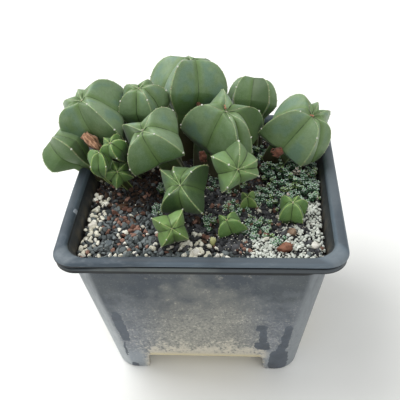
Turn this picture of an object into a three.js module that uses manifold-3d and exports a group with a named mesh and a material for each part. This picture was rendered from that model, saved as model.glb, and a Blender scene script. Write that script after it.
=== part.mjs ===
// A clump of bishop's cap cactus (the smooth, spineless kind) in a square plastic nursery pot.
// Ten grown heads and seven offsets lean outward from one crowded stool, among gravel,
// pumice, bark and a tiny blue-green creeping plant. Millimetres, +Z up; the origin is on
// the ground under the middle of the whole width, and -Y is the front.
import * as THREE from "three";
import { mergeVertices } from "three/addons/utils/BufferGeometryUtils.js";
import Module from "manifold-3d";

const wasm = await Module();
wasm.setup();

// Pot: a square tub that narrows to four corner feet, with a rolled rim over a thin band.
const RIM_HALF = 75;
const RIM_RADIUS = 16;
const RIM_TOP = 100;
const BODY_TOP_HALF = 69;
const BODY_TOP_RADIUS = 15;
const BAND_BOTTOM = 90.5;
const BAND_TOP = 93.4;
const GROOVE_HALF = 72.2;
const ROLL_BOTTOM = 94.2;
const FOOT_HALF = 53;
const FOOT_RADIUS = 13;
const FOOT_WALL = 3;
const FOOT_HEIGHT = 12;
const FLOOR_TOP = 14.5;
const WALL = 2.2;
const NOTCH_WIDTH = 64;
const NOTCH_CORNER = 5;
const DRAIN_RADIUS = 4.5;
const DRAIN_SPACING = 27;
const CORNER_STEPS = 4;

// Soil and gravel fill.
const SOIL_LEVEL = 88;
const SOIL_MOUND = 2.2;
const GRAVEL_STEP = 6.3;
const GRAVEL_ROUGHNESS = 1.1;
const ROOT_DEPTH = 4;
const SOCKET_SIDES = 8;

// The heads overhang the pot on the left, so the pot stands this far right of the origin,
// which is under the middle of the whole width.
const OVERHANG_SHIFT = 9.8;

// Room left between pieces that press on each other.
const SEAT_GAP = 0.3;
const PRESS_GAP = 0.5;

// Rib section of a head, as shares of the rib radius: how deep a crease lies in the crown
// and in the stem, and how far a flank swells.
const CREASE_DEPTH = 0.8;
const STEM_CREASE_DEPTH = 0.97;
const FLANK_BULGE = 0.14;

// The dimple in a crown: its depth as a share of the rise, and its width in radians.
const CROWN_SINK = 0.16;
const CROWN_SINK_WIDTH = 0.38;

// How far down its own axis a head runs on before its stem bends to the root.
const KNEE_SHARE = 0.45;

// The turn from one sprig to the next in a sunflower spiral, in radians.
const GOLDEN_TURN = 2.39996;

// Every head: the centre of its widest ring, how far its axis leans (degrees) and toward
// which bearing, the radius of its rib edges, the rise of the crown above the widest ring,
// the bearings of its ribs around the axis, where its stem meets the soil, how thick that
// stem is against the head, and how many facets cross each rib flank. Nearest first: a head
// further back is pressed in where it meets one listed before it.
const HEADS = [
  { name: "pup_front", at: [-15, -46, 99], lean: 55, toward: 284, radius: 11.5, rise: 10.5,
    ribs: [57, 151, 242, 328], root: [-14, -37], stem: 0.5, facets: 2 },
  { name: "pup_front_right", at: [16, -38, 92.5], lean: 25, toward: 229, radius: 10, rise: 9,
    ribs: [53, 133, 239, 344], root: [17, -36], stem: 0.6, facets: 2 },
  { name: "pup_right", at: [48.5, -24.5, 94], lean: 6, toward: 288, radius: 9.7, rise: 8.7,
    ribs: [62, 141, 226, 307, 359], root: [48, -23], stem: 0.6, facets: 2 },
  { name: "pup_right_small", at: [25, -14, 92.5], lean: 19, toward: 255, radius: 7, rise: 6.5,
    ribs: [57, 138, 226, 320], root: [26, -13], stem: 0.6, facets: 2 },
  { name: "pup_left_low", at: [-49.5, -0.5, 102.5], lean: 36, toward: 285, radius: 9.1, rise: 8.2,
    ribs: [49, 116, 196, 268, 340], root: [-46, 8], stem: 0.5, facets: 2 },
  { name: "pup_left_outer", at: [-59.5, -7.5, 115], lean: 49, toward: 228, radius: 7.6, rise: 6.9,
    ribs: [24, 112, 190, 284], root: [-49, 15], stem: 0.4, facets: 2 },
  { name: "pup_left_high", at: [-50.5, -3.5, 122], lean: 26, toward: 263, radius: 8.4, rise: 7.5,
    ribs: [15, 62, 129, 172, 222, 299], root: [-40, 22], stem: 0.4, facets: 2 },
  { name: "head_front_right", at: [18.5, -17.5, 116], lean: 54, toward: 276, radius: 16.5, rise: 14.5,
    ribs: [2, 45, 88, 152, 234], root: [14, -4], stem: 0.45, facets: 2 },
  { name: "head_front_middle", at: [-9.5, -23, 108.5], lean: 47, toward: 266, radius: 17.5, rise: 15.5,
    ribs: [42, 107, 145, 229, 312], root: [-9, -9], stem: 0.45, facets: 2 },
  { name: "head_front_left", at: [-27, 2.5, 122], lean: 38, toward: 238, radius: 21.5, rise: 19,
    ribs: [64, 152, 235, 332], root: [-22, 14], stem: 0.55, facets: 3 },
  { name: "head_middle_left", at: [-36.5, 30, 132], lean: 11, toward: 240, radius: 14.8, rise: 13.6,
    ribs: [14, 67, 143, 207, 252, 298], root: [-31, 36], stem: 0.6, facets: 2 },
  { name: "head_left", at: [-62, 23, 126], lean: 31, toward: 212, radius: 24.2, rise: 21.2,
    ribs: [43, 100, 161, 212, 313], root: [-46, 36], stem: 0.55, facets: 3 },
  { name: "head_centre", at: [10, 17, 119.5], lean: 17, toward: 284, radius: 24, rise: 22.5,
    ribs: [16, 89, 175, 286, 318], root: [5, 24], stem: 0.6, facets: 3 },
  { name: "head_right", at: [52, 31.5, 113], lean: 41, toward: 325, radius: 21.5, rise: 19,
    ribs: [4, 47, 111, 186, 293], root: [41, 38], stem: 0.55, facets: 3 },
  { name: "head_far_left", at: [-81.5, 14, 111.5], lean: 45, toward: 164, radius: 14.6, rise: 13,
    ribs: [6, 78, 150, 221, 295], root: [-54, 19], stem: 0.4, facets: 2 },
  { name: "head_back", at: [-11, 52, 131], lean: 12, toward: 53, radius: 24, rise: 20,
    ribs: [51, 107, 170, 245, 342], root: [-11, 47], stem: 0.6, facets: 3 },
  { name: "head_back_right", at: [26, 59, 120.5], lean: 18, toward: 51, radius: 16, rise: 14.5,
    ribs: [2, 56, 110, 165, 221, 303], root: [23, 54], stem: 0.6, facets: 2 },
];

// Withered flowers still held in the creases of four heads: which rib the crease follows,
// how far down it (1 is the widest ring, 2 the root), and the way the flower points.
const WITHERED_FLOWERS = [
  { name: "withered_flower_left", host: "head_left", rib: 3, along: 0.96,
    pointing: [0.7, -0.35, -0.62], length: 12, radius: 2.9 },
  { name: "withered_flower_centre", host: "head_centre", rib: 2, along: 1.3,
    pointing: [-0.15, -0.8, -0.6], length: 6.5, radius: 2.2 },
  { name: "withered_flower_right", host: "head_right", rib: 3, along: 1.4,
    pointing: [-0.4, -0.75, -0.5], length: 6.5, radius: 2.6 },
  { name: "withered_flower_back", host: "head_back", rib: 3, along: 1.15,
    pointing: [0.2, -0.7, -0.7], length: 4.5, radius: 1.5 },
];

// Mats of the creeping plant. Each is one tangle of low cushions, and each cushion has a
// centre, half-widths, a height over the soil and a number of sprigs.
const CREEPERS = [
  { name: "creeper_mat_right", cushions: [
    { at: [57, 9], half: [9, 16], height: 8, sprigs: 14 },
    { at: [60, -13], half: [6.5, 10], height: 6.5, sprigs: 7 },
    { at: [44.5, 2], half: [9.5, 14], height: 6.5, sprigs: 12 },
    { at: [37, -17], half: [8, 11], height: 5, sprigs: 8 },
    { at: [31.5, -36], half: [7.5, 11], height: 3.8, sprigs: 7 },
  ] },
  { name: "creeper_tuft_middle", cushions: [
    { at: [3.5, -31], half: [4, 5.5], height: 4, sprigs: 5 },
  ] },
  { name: "creeper_tuft_left", cushions: [
    { at: [-30, -15], half: [4, 8], height: 4, sprigs: 7 },
  ] },
];

// Larger loose stones and bark pieces bedded in the top of the fill.
const STONES = [
  { name: "stone_red_lava", at: [44, -51], size: [5.2, 4.2, 3.6], turn: 20, tone: 0x9b6a5a },
  { name: "stone_brown_lava", at: [48.5, -38], size: [5, 3.4, 2.8], turn: 75, tone: 0x8a7460 },
  { name: "stone_yellow_pumice", at: [6.5, -46], size: [2.6, 3, 3], turn: 10, tone: 0xc9c08a },
  { name: "stone_pumice_front", at: [-2, -55], size: [3.4, 2.7, 2.4], turn: 40, tone: 0xdcdad2 },
  { name: "stone_pumice_middle", at: [9, -58], size: [3.2, 2.4, 2.2], turn: 110, tone: 0xe2e0d8 },
  { name: "stone_pumice_corner", at: [60, -47], size: [3.2, 2.6, 2.4], turn: 65, tone: 0xe6e4dc },
  { name: "stone_pumice_left", at: [-60, -32], size: [3, 2.4, 2.3], turn: 15, tone: 0xdedcd4 },
  { name: "stone_lava_left", at: [-49, -47], size: [3.6, 2.8, 2.5], turn: 130, tone: 0x5b6064 },
];
const BARK = [
  { name: "bark_piece_left", at: [-47, -14], size: [5.5, 2.3, 1.5], turn: 25, tone: 0x4a3a30 },
  { name: "bark_piece_middle", at: [-38, -28], size: [5, 2, 1.4], turn: 118, tone: 0x57443a },
];

const CACTUS_GREEN = 0x65875c;
const PUP_GREEN = 0x76a052;
const CREEPER_GREEN = 0x5c8a70;
const WITHERED_BROWN = 0x96684c;
const POT_BLACK = 0x4d545a;
const GRAVEL_GREY = 0x6d6b68;

// Draws that come out the same each time.
function seededRandom(seed) {
  let state = seed;
  return function next() {
    state = (state * 16807) % 2147483647;
    return state / 2147483647;
  };
}

// Joins corner points and triangles into one closed solid.
function solidFrom(points, triangles) {
  const vertProperties = Float32Array.from(points.flatMap((point) => point.toArray()));
  const triVerts = Uint32Array.from(triangles.flat());
  return new wasm.Manifold(new wasm.Mesh({ numProp: 3, vertProperties, triVerts }));
}

// Strips all but the positions from a geometry, so that its corners can be merged.
function bareGeometry(geometry) {
  geometry.deleteAttribute("normal");
  geometry.deleteAttribute("uv");
  return geometry;
}

// Makes a closed solid of a three.js geometry whose surface is closed.
function solidFromGeometry(geometry) {
  const merged = mergeVertices(bareGeometry(geometry), 0.001);
  const vertProperties = Float32Array.from(merged.attributes.position.array);
  const triVerts = Uint32Array.from(merged.index.array);
  return new wasm.Manifold(new wasm.Mesh({ numProp: 3, vertProperties, triVerts }));
}

// Skins a stack of closed rings, lowest first, and fans over both ends.
function loft(rings, lowest, highest) {
  const count = rings[0].length;
  const points = rings.flat();
  const bottom = points.push(lowest) - 1;
  const top = points.push(highest) - 1;
  const last = (rings.length - 1) * count;
  const triangles = [];
  for (let j = 0; j < count; j++) {
    const k = (j + 1) % count;
    triangles.push([bottom, k, j]);
    triangles.push([last + j, last + k, top]);
    for (let i = 0; i < rings.length - 1; i++) {
      const low = i * count;
      const high = low + count;
      triangles.push([low + j, low + k, high + k]);
      triangles.push([low + j, high + k, high + j]);
    }
  }
  return solidFrom(points, triangles);
}

// Cuts a list of solids out of one, looking only at those whose boxes meet it.
function cutAll(body, cutters) {
  let result = body;
  for (const cutter of cutters) {
    const a = result.boundingBox();
    const b = cutter.boundingBox();
    const apart = [0, 1, 2].some((axis) => a.min[axis] > b.max[axis] || b.min[axis] > a.max[axis]);
    if (!apart) result = result.subtract(cutter);
  }
  return result;
}

// Drops any crumb that a cut has freed and keeps the main body.
function mainBody(body) {
  const pieces = body.decompose();
  pieces.sort((a, b) => b.volume() - a.volume());
  return pieces[0].simplify(0.04);
}

// Makes the mesh of one piece, with its own place in the scene.
function meshOf(name, body, at, colour, roughness) {
  const local = body.translate([-at[0], -at[1], -at[2]]).getMesh();
  const geometry = new THREE.BufferGeometry();
  geometry.setAttribute("position", new THREE.BufferAttribute(local.vertProperties, 3));
  geometry.setIndex(new THREE.BufferAttribute(local.triVerts, 1));
  const material = new THREE.MeshStandardMaterial({ color: colour, roughness, metalness: 0 });
  material.flatShading = true;
  const mesh = new THREE.Mesh(geometry, material);
  mesh.name = name;
  mesh.position.set(at[0], at[1], at[2]);
  return mesh;
}

// One level ring of a square with rounded corners.
function squareRing(half, radius, z) {
  const ring = [];
  for (let corner = 0; corner < 4; corner++) {
    const start = corner * 90;
    const middle = THREE.MathUtils.degToRad(start + 45);
    const centreX = Math.sign(Math.cos(middle)) * (half - radius);
    const centreY = Math.sign(Math.sin(middle)) * (half - radius);
    for (let step = 0; step <= CORNER_STEPS; step++) {
      const angle = THREE.MathUtils.degToRad(start + (90 * step) / CORNER_STEPS);
      const x = centreX + radius * Math.cos(angle);
      const y = centreY + radius * Math.sin(angle);
      ring.push(new THREE.Vector3(x, y, z));
    }
  }
  return ring;
}

// Stacks square rings given as [half width, corner radius, height].
function squareLoft(levels) {
  const rings = levels.map(([half, radius, z]) => squareRing(half, radius, z));
  const low = new THREE.Vector3(0, 0, levels[0][2]);
  const high = new THREE.Vector3(0, 0, levels[levels.length - 1][2]);
  return loft(rings, low, high);
}

// Half width and corner radius of the tapering pot body at a height.
function outerHalfAt(z) {
  return FOOT_HALF + ((BODY_TOP_HALF - FOOT_HALF) * z) / BAND_BOTTOM;
}

function outerRadiusAt(z) {
  return FOOT_RADIUS + ((BODY_TOP_RADIUS - FOOT_RADIUS) * z) / BAND_BOTTOM;
}

function potOutside() {
  return squareLoft([
    [FOOT_HALF, FOOT_RADIUS, 0],
    [BODY_TOP_HALF, BODY_TOP_RADIUS, BAND_BOTTOM],
    [RIM_HALF - 1.8, RIM_RADIUS - 1.5, BAND_BOTTOM + 0.2],
    [RIM_HALF - 1.5, RIM_RADIUS - 1.5, BAND_TOP],
    [GROOVE_HALF, RIM_RADIUS - 2.5, BAND_TOP + 0.2],
    [GROOVE_HALF, RIM_RADIUS - 2.5, ROLL_BOTTOM],
    [RIM_HALF - 0.8, RIM_RADIUS - 0.5, ROLL_BOTTOM + 0.4],
    [RIM_HALF, RIM_RADIUS, ROLL_BOTTOM + 1.8],
    [RIM_HALF, RIM_RADIUS, RIM_TOP - 2],
    [RIM_HALF - 0.7, RIM_RADIUS - 0.5, RIM_TOP - 0.7],
    [RIM_HALF - 2.2, RIM_RADIUS - 1.5, RIM_TOP],
  ]);
}

// The hollow of the pot above its floor, drawn in from the wall by a clearance.
function potInside(clearance) {
  const lowHalf = outerHalfAt(FLOOR_TOP) - WALL - clearance;
  const lowRadius = outerRadiusAt(FLOOR_TOP) - WALL - clearance;
  const highHalf = BODY_TOP_HALF - WALL - clearance;
  const highRadius = BODY_TOP_RADIUS - WALL - clearance;
  return squareLoft([
    [lowHalf, lowRadius, FLOOR_TOP],
    [highHalf, highRadius, BAND_BOTTOM],
    [highHalf + 0.3, highRadius, RIM_TOP - 1.6],
    [highHalf + 1.4, highRadius + 0.6, RIM_TOP - 0.5],
    [highHalf + 2.6, highRadius + 1.2, RIM_TOP + 0.2],
    [highHalf + 2.6, highRadius + 1.2, RIM_TOP + 5],
  ]);
}

// The space between the four feet, under the floor.
function hollowUnderFloor() {
  const highHalf = outerHalfAt(FOOT_HEIGHT) - FOOT_WALL;
  return squareLoft([
    [FOOT_HALF - FOOT_WALL - 0.2, FOOT_RADIUS - FOOT_WALL, -1],
    [highHalf, FOOT_RADIUS - FOOT_WALL, FOOT_HEIGHT],
  ]);
}

// The arch between two feet, run right through under the pot.
function footNotch(turned) {
  const half = NOTCH_WIDTH / 2;
  const arch = new THREE.Shape();
  arch.moveTo(-half, -1);
  arch.lineTo(half, -1);
  arch.lineTo(half, FOOT_HEIGHT - NOTCH_CORNER);
  arch.absarc(half - NOTCH_CORNER, FOOT_HEIGHT - NOTCH_CORNER, NOTCH_CORNER, 0, Math.PI / 2, false);
  arch.absarc(NOTCH_CORNER - half, FOOT_HEIGHT - NOTCH_CORNER, NOTCH_CORNER, Math.PI / 2, Math.PI, false);
  const length = 2 * FOOT_HALF + 20;
  const run = { depth: length, bevelEnabled: false, curveSegments: 4 };
  const geometry = new THREE.ExtrudeGeometry(arch, run);
  geometry.translate(0, 0, -length / 2);
  geometry.rotateX(Math.PI / 2);
  if (turned) geometry.rotateZ(Math.PI / 2);
  return solidFromGeometry(geometry);
}

// A round hole through the floor.
function drainHole(x, y) {
  const geometry = new THREE.CylinderGeometry(DRAIN_RADIUS, DRAIN_RADIUS, FLOOR_TOP, 12);
  geometry.rotateX(Math.PI / 2);
  geometry.translate(x, y, FLOOR_TOP);
  return solidFromGeometry(geometry);
}

// The pot: outside, less its inside, the space under it, the arches and five drain holes.
function pot() {
  const cutters = [potInside(0), hollowUnderFloor(), footNotch(false), footNotch(true)];
  cutters.push(drainHole(0, 0));
  for (const side of [-1, 1]) {
    cutters.push(drainHole(side * DRAIN_SPACING, DRAIN_SPACING));
    cutters.push(drainHole(side * DRAIN_SPACING, -DRAIN_SPACING));
  }
  return cutAll(potOutside(), cutters);
}

// The upper pot wall and rim, swollen by a clearance, that leaning heads rest against.
function rimRest(clearance) {
  const outside = squareLoft([
    [outerHalfAt(60) + clearance, outerRadiusAt(60), 60],
    [BODY_TOP_HALF + clearance, BODY_TOP_RADIUS, BAND_BOTTOM - clearance],
    [RIM_HALF + clearance, RIM_RADIUS, BAND_BOTTOM],
    [RIM_HALF + clearance, RIM_RADIUS, RIM_TOP - 2],
    [RIM_HALF - 0.7 + clearance, RIM_RADIUS - 0.5, RIM_TOP - 0.7 + clearance],
    [RIM_HALF - 2.2 + clearance, RIM_RADIUS - 1.5, RIM_TOP + clearance],
  ]);
  return outside.subtract(potInside(clearance));
}

// Height of the top of the fill, before its roughness.
function soilHeight(x, y) {
  const spread = ((x - 20) ** 2 + (y - 5) ** 2) / (2 * 38 ** 2);
  return SOIL_LEVEL + SOIL_MOUND * Math.exp(-spread);
}

// A block whose top is a jumble of gravel-sized facets, wider than the pot.
function gravelBlock() {
  const random = seededRandom(41);
  const cells = Math.round((2 * RIM_HALF) / GRAVEL_STEP);
  const index = (i, j) => i * (cells + 1) + j;
  const points = [];
  for (let i = 0; i <= cells; i++) {
    for (let j = 0; j <= cells; j++) {
      const edge = i === 0 || j === 0 || i === cells || j === cells;
      const shift = edge ? 0 : 0.34 * GRAVEL_STEP;
      const x = -RIM_HALF + (2 * RIM_HALF * i) / cells + shift * (2 * random() - 1);
      const y = -RIM_HALF + (2 * RIM_HALF * j) / cells + shift * (2 * random() - 1);
      const z = soilHeight(x, y) + GRAVEL_ROUGHNESS * (2 * random() - 1);
      points.push(new THREE.Vector3(x, y, z));
    }
  }
  const triangles = [];
  for (let i = 0; i < cells; i++) {
    for (let j = 0; j < cells; j++) {
      const a = index(i, j);
      const b = index(i + 1, j);
      const c = index(i + 1, j + 1);
      const d = index(i, j + 1);
      if (random() < 0.5) triangles.push([a, b, c], [a, c, d]);
      else triangles.push([a, b, d], [b, c, d]);
    }
  }
  const border = [];
  for (let i = 0; i < cells; i++) border.push(index(i, 0));
  for (let j = 0; j < cells; j++) border.push(index(cells, j));
  for (let i = cells; i > 0; i--) border.push(index(i, cells));
  for (let j = cells; j > 0; j--) border.push(index(0, j));
  const first = points.length;
  for (const top of border) points.push(points[top].clone().setZ(FLOOR_TOP - 5));
  const middle = points.push(new THREE.Vector3(0, 0, FLOOR_TOP - 5)) - 1;
  for (let n = 0; n < border.length; n++) {
    const m = (n + 1) % border.length;
    triangles.push([first + n, first + m, border[m]]);
    triangles.push([first + n, border[m], border[n]]);
    triangles.push([middle, first + m, first + n]);
  }
  return solidFrom(points, triangles);
}

// Two directions square to an axis, the first as near +X as it can be.
function crossAxes(axis) {
  const first = new THREE.Vector3(1, 0, 0).addScaledVector(axis, -axis.x).normalize();
  const second = new THREE.Vector3().crossVectors(axis, first);
  return [first, second];
}

// The way a head's crown points.
function leanAxis(head) {
  const lean = THREE.MathUtils.degToRad(head.lean);
  const toward = THREE.MathUtils.degToRad(head.toward);
  const level = Math.sin(lean);
  return new THREE.Vector3(level * Math.cos(toward), level * Math.sin(toward), Math.cos(lean));
}

// Centre, axis, rib radius and crease depth of the section at a station down a head:
// 0 is the crown, 1 the widest ring and 2 the root. The crown is a dome whose tip sinks in;
// below the widest ring the head draws in to its stem, which bends down to the soil.
function sectionAt(head, station, grow) {
  const axis = leanAxis(head);
  const middle = new THREE.Vector3(...head.at);
  const radius = head.radius + grow;
  const rise = head.rise + grow;
  if (station <= 1) {
    const angle = (station * Math.PI) / 2;
    const sink = CROWN_SINK * Math.exp(-((angle / CROWN_SINK_WIDTH) ** 2));
    const centre = middle.addScaledVector(axis, rise * (Math.cos(angle) - sink));
    return { centre, axis, radius: radius * Math.sin(angle) ** 0.85, fill: 0 };
  }
  const down = station - 1;
  const root = new THREE.Vector3(head.root[0], head.root[1], SOIL_LEVEL - ROOT_DEPTH - grow);
  const length = middle.distanceTo(root);
  const knee = middle.clone().addScaledVector(axis, -KNEE_SHARE * length);
  const bend = new THREE.QuadraticBezierCurve3(middle, knee, root);
  const upright = new THREE.Vector3(0, 0, 1);
  const turned = axis.clone().lerp(upright, down).normalize();
  const stemRadius = head.stem * head.radius + grow;
  const taper = Math.cos((down * Math.PI) / 2) ** 0.9;
  const drawn = stemRadius + (radius - stemRadius) * taper;
  return { centre: bend.getPoint(down), axis: turned, radius: drawn, fill: down ** 2 };
}

// Offset of one skin point from its section's centre: rib edges on the outside, a crease
// half way between each two, and a gently swollen flank from one to the other.
function ribPoint(head, section, rib, share) {
  const bearings = head.ribs;
  const here = bearings[rib];
  const next = bearings[(rib + 1) % bearings.length] + (rib + 1 === bearings.length ? 360 : 0);
  const halfGap = THREE.MathUtils.degToRad(next - here) / 2;
  const toEdge = Math.abs(1 - 2 * share);
  const depth = Math.cos(halfGap) * (CREASE_DEPTH + (STEM_CREASE_DEPTH - CREASE_DEPTH) * section.fill);
  const crease = new THREE.Vector2(depth * Math.cos(halfGap), depth * Math.sin(halfGap));
  const edge = new THREE.Vector2(1, 0);
  const along = edge.clone().sub(crease);
  const bulge = FLANK_BULGE * Math.sin(Math.PI * toEdge);
  const flat = crease.addScaledVector(along, toEdge);
  flat.add(new THREE.Vector2(-along.y, along.x).multiplyScalar(bulge));
  const side = share < 0.5 ? 1 : -1;
  const bearing = THREE.MathUtils.degToRad(share < 0.5 ? here : next);
  const angle = bearing + side * Math.atan2(flat.y, flat.x);
  const reach = section.radius * flat.length();
  const [first, second] = crossAxes(section.axis);
  return new THREE.Vector3()
    .addScaledVector(first, reach * Math.cos(angle))
    .addScaledVector(second, reach * Math.sin(angle));
}

// A point on the skin itself, where a flower can sit.
function skinPoint(head, station, rib, share) {
  const section = sectionAt(head, station, 0);
  return section.centre.clone().add(ribPoint(head, section, rib, share));
}

// One ring of skin points round a head.
function headRing(head, station, grow) {
  const section = sectionAt(head, station, grow);
  const ring = [];
  for (let rib = 0; rib < head.ribs.length; rib++) {
    for (let step = 0; step < 2 * head.facets; step++) {
      const offset = ribPoint(head, section, rib, step / (2 * head.facets));
      ring.push(section.centre.clone().add(offset));
    }
  }
  return ring;
}

// A whole head with its stem, swollen by grow where it presses on others.
function headSolid(head, grow) {
  const coarse = [2, 1.65, 1.3, 1.05, 0.8, 0.53, 0.26];
  const fine = [2, 1.7, 1.4, 1.16, 0.95, 0.74, 0.52, 0.3, 0.14];
  const stations = head.facets > 2 ? fine : coarse;
  const rings = stations.map((station) => headRing(head, station, grow));
  const lowest = sectionAt(head, 2, grow).centre;
  const highest = sectionAt(head, 0, grow).centre;
  return loft(rings, lowest, highest);
}

// A plain hole for a stem, round about each section from the root up past the soil.
function socket(head) {
  const stations = [2, 1.65, 1.3, 0.95].map((station) => sectionAt(head, station, SEAT_GAP));
  const above = stations.findIndex((section) => section.centre.z > SOIL_LEVEL + 8);
  const used = above < 0 ? stations : stations.slice(0, Math.max(above, 1) + 1);
  const slack = 1 / Math.cos(Math.PI / SOCKET_SIDES);
  const rings = used.map((section) => {
    const [first, second] = crossAxes(section.axis);
    return Array.from({ length: SOCKET_SIDES }, (_, side) => {
      const angle = (2 * Math.PI * side) / SOCKET_SIDES;
      const reach = section.radius * slack;
      return section.centre.clone()
        .addScaledVector(first, reach * Math.cos(angle))
        .addScaledVector(second, reach * Math.sin(angle));
    });
  });
  const top = used[used.length - 1];
  const highest = top.centre.clone().addScaledVector(top.axis, 6);
  return loft(rings, used[0].centre, highest);
}

// A shrivelled flower: a ridged, twisting tuft that opens into a ragged mouth.
function witheredFlower(flower, seed) {
  const random = seededRandom(seed);
  const host = HEADS.find((head) => head.name === flower.host);
  const start = skinPoint(host, flower.along, flower.rib, 0.5);
  const axis = new THREE.Vector3(...flower.pointing).normalize();
  const [first, second] = crossAxes(axis);
  const profile = [0.55, 0.8, 0.95, 0.7, 0.85, 1.05];
  const rings = profile.map((width, level) => {
    const share = level / (profile.length - 1);
    const centre = start.clone().addScaledVector(axis, flower.length * (share - 0.12));
    const ring = [];
    for (let side = 0; side < 10; side++) {
      const angle = (side * Math.PI) / 5 + 0.5 * share;
      const ridge = side % 2 === 0 ? 1 : 0.72;
      const reach = flower.radius * width * ridge * (0.9 + 0.2 * random());
      const fray = side % 2 === 0 ? share * random() : 0;
      const point = centre.clone().addScaledVector(axis, fray);
      point.addScaledVector(first, reach * Math.cos(angle));
      point.addScaledVector(second, reach * Math.sin(angle));
      ring.push(point);
    }
    return ring;
  });
  const lowest = start.clone().addScaledVector(axis, -0.12 * flower.length);
  const highest = start.clone().addScaledVector(axis, 0.8 * flower.length);
  return loft(rings, lowest, highest);
}

// A plump four-leaved whorl on a stem that runs down to a point in the cushion.
function leafWhorl(centre, radius, foot, turn) {
  const ring = [];
  for (let side = 0; side < 8; side++) {
    const angle = turn + (side * Math.PI) / 4;
    const reach = side % 2 === 0 ? radius : 0.5 * radius;
    const lift = side % 2 === 0 ? 0.3 * radius : 0;
    ring.push(new THREE.Vector3(reach * Math.cos(angle), reach * Math.sin(angle), lift).add(centre));
  }
  const highest = centre.clone().setZ(centre.z + 1.3);
  return loft([ring], centre.clone().setZ(foot), highest);
}

// A low cushion of soil-hugging stems that sprigs rise from.
function cushionSolid(cushion, grow) {
  const random = seededRandom(7 + Math.round(cushion.at[0] * 3 + 400));
  const [x, y] = cushion.at;
  const ground = soilHeight(x, y);
  const levels = [[0.86, -1.6 - grow], [1, 0.9], [0.72, 0.42 * cushion.height + grow]];
  const wobble = Array.from({ length: 10 }, () => 0.88 + 0.2 * random());
  const rings = levels.map(([share, z]) => wobble.map((reach, side) => {
    const angle = (side * Math.PI) / 5;
    const reachX = (cushion.half[0] * share * reach + grow) * Math.cos(angle);
    const reachY = (cushion.half[1] * share * reach + grow) * Math.sin(angle);
    return new THREE.Vector3(x + reachX, y + reachY, ground + z);
  }));
  const lowest = new THREE.Vector3(x, y, ground - 1.6 - grow);
  const highest = new THREE.Vector3(x, y, ground + 0.5 * cushion.height + grow);
  return loft(rings, lowest, highest);
}

// Sprigs spread over each cushion by the sunflower rule, tallest in its middle.
function creeperMat(mat, seed) {
  const random = seededRandom(seed);
  const pieces = [];
  for (const cushion of mat.cushions) {
    const [x, y] = cushion.at;
    const ground = soilHeight(x, y);
    pieces.push(cushionSolid(cushion, 0));
    for (let n = 0; n < cushion.sprigs; n++) {
      const share = Math.sqrt((n + 0.5) / cushion.sprigs);
      const angle = n * GOLDEN_TURN + 0.5 * random();
      const alongX = 0.82 * share * cushion.half[0] * Math.cos(angle);
      const alongY = 0.82 * share * cushion.half[1] * Math.sin(angle);
      const height = ground + cushion.height * (1 - 0.35 * share * share) + 0.8 * random();
      const tip = new THREE.Vector3(x + alongX, y + alongY, height);
      pieces.push(leafWhorl(tip, 2 + 0.8 * random(), ground - 0.5, Math.PI * random()));
    }
  }
  return wasm.Manifold.union(pieces);
}

// A bedded stone: a lumpy many-sided ball, flattened, turned and sunk by a third.
function stone(piece, seed, grow) {
  const random = seededRandom(seed);
  const shape = mergeVertices(bareGeometry(new THREE.DodecahedronGeometry(1, 0)), 0.001);
  const position = shape.attributes.position;
  for (let n = 0; n < position.count; n++) {
    const swell = 0.86 + 0.24 * random();
    const point = new THREE.Vector3().fromBufferAttribute(position, n).multiplyScalar(swell);
    position.setXYZ(n, point.x, point.y, point.z);
  }
  return bedded(shape, piece, grow);
}

// A splinter of bark: a thin slab with ragged, narrowing ends.
function barkPiece(piece, seed, grow) {
  const random = seededRandom(seed);
  const shape = mergeVertices(bareGeometry(new THREE.BoxGeometry(2, 2, 2, 4, 2, 1)), 0.001);
  const position = shape.attributes.position;
  for (let n = 0; n < position.count; n++) {
    const point = new THREE.Vector3().fromBufferAttribute(position, n);
    const narrow = 1 - 0.45 * point.x * point.x;
    const y = point.y * narrow * (0.85 + 0.3 * random());
    const z = point.z * (0.8 + 0.3 * random());
    position.setXYZ(n, point.x * (0.9 + 0.1 * random()), y, z);
  }
  return bedded(shape, piece, grow);
}

// Sizes a unit shape, turns it and sets it in the top of the fill.
function bedded(shape, piece, grow) {
  const [x, y] = piece.at;
  shape.scale(piece.size[0] + grow, piece.size[1] + grow, piece.size[2] + grow);
  shape.rotateZ(THREE.MathUtils.degToRad(piece.turn));
  shape.translate(x, y, soilHeight(x, y) + 0.3 * piece.size[2]);
  return solidFromGeometry(shape);
}

const group = new THREE.Group();
group.position.x = OVERHANG_SHIFT;

// Heads, each pressed in where a nearer one or the pot's rim meets it.
const grownHeads = HEADS.map((head) => headSolid(head, PRESS_GAP));
const rest = rimRest(SEAT_GAP);
const headSolids = HEADS.map((head, order) => {
  return mainBody(cutAll(headSolid(head, 0), [rest, ...grownHeads.slice(0, order)]));
});

const flowerSolids = WITHERED_FLOWERS.map((flower, n) => {
  return mainBody(cutAll(witheredFlower(flower, 17 + n), grownHeads));
});
const stoneSolids = STONES.map((piece, n) => stone(piece, 101 + n, 0));
const barkSolids = BARK.map((piece, n) => barkPiece(piece, 201 + n, 0));
const room = potInside(SEAT_GAP + 0.2);
const creeperSolids = CREEPERS.map((mat, n) => {
  return mainBody(cutAll(creeperMat(mat, 301 + n).intersect(room), grownHeads));
});

// The fill: all the room in the pot up to the gravel, less a hole for each piece in it.
function fill() {
  const sockets = HEADS.map((head) => socket(head));
  for (const mat of CREEPERS) {
    for (const cushion of mat.cushions) sockets.push(cushionSolid(cushion, SEAT_GAP));
  }
  STONES.forEach((piece, n) => sockets.push(stone(piece, 101 + n, 0.4)));
  BARK.forEach((piece, n) => sockets.push(barkPiece(piece, 201 + n, 0.4)));
  const body = potInside(SEAT_GAP).intersect(gravelBlock());
  return mainBody(cutAll(body, sockets));
}

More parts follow.
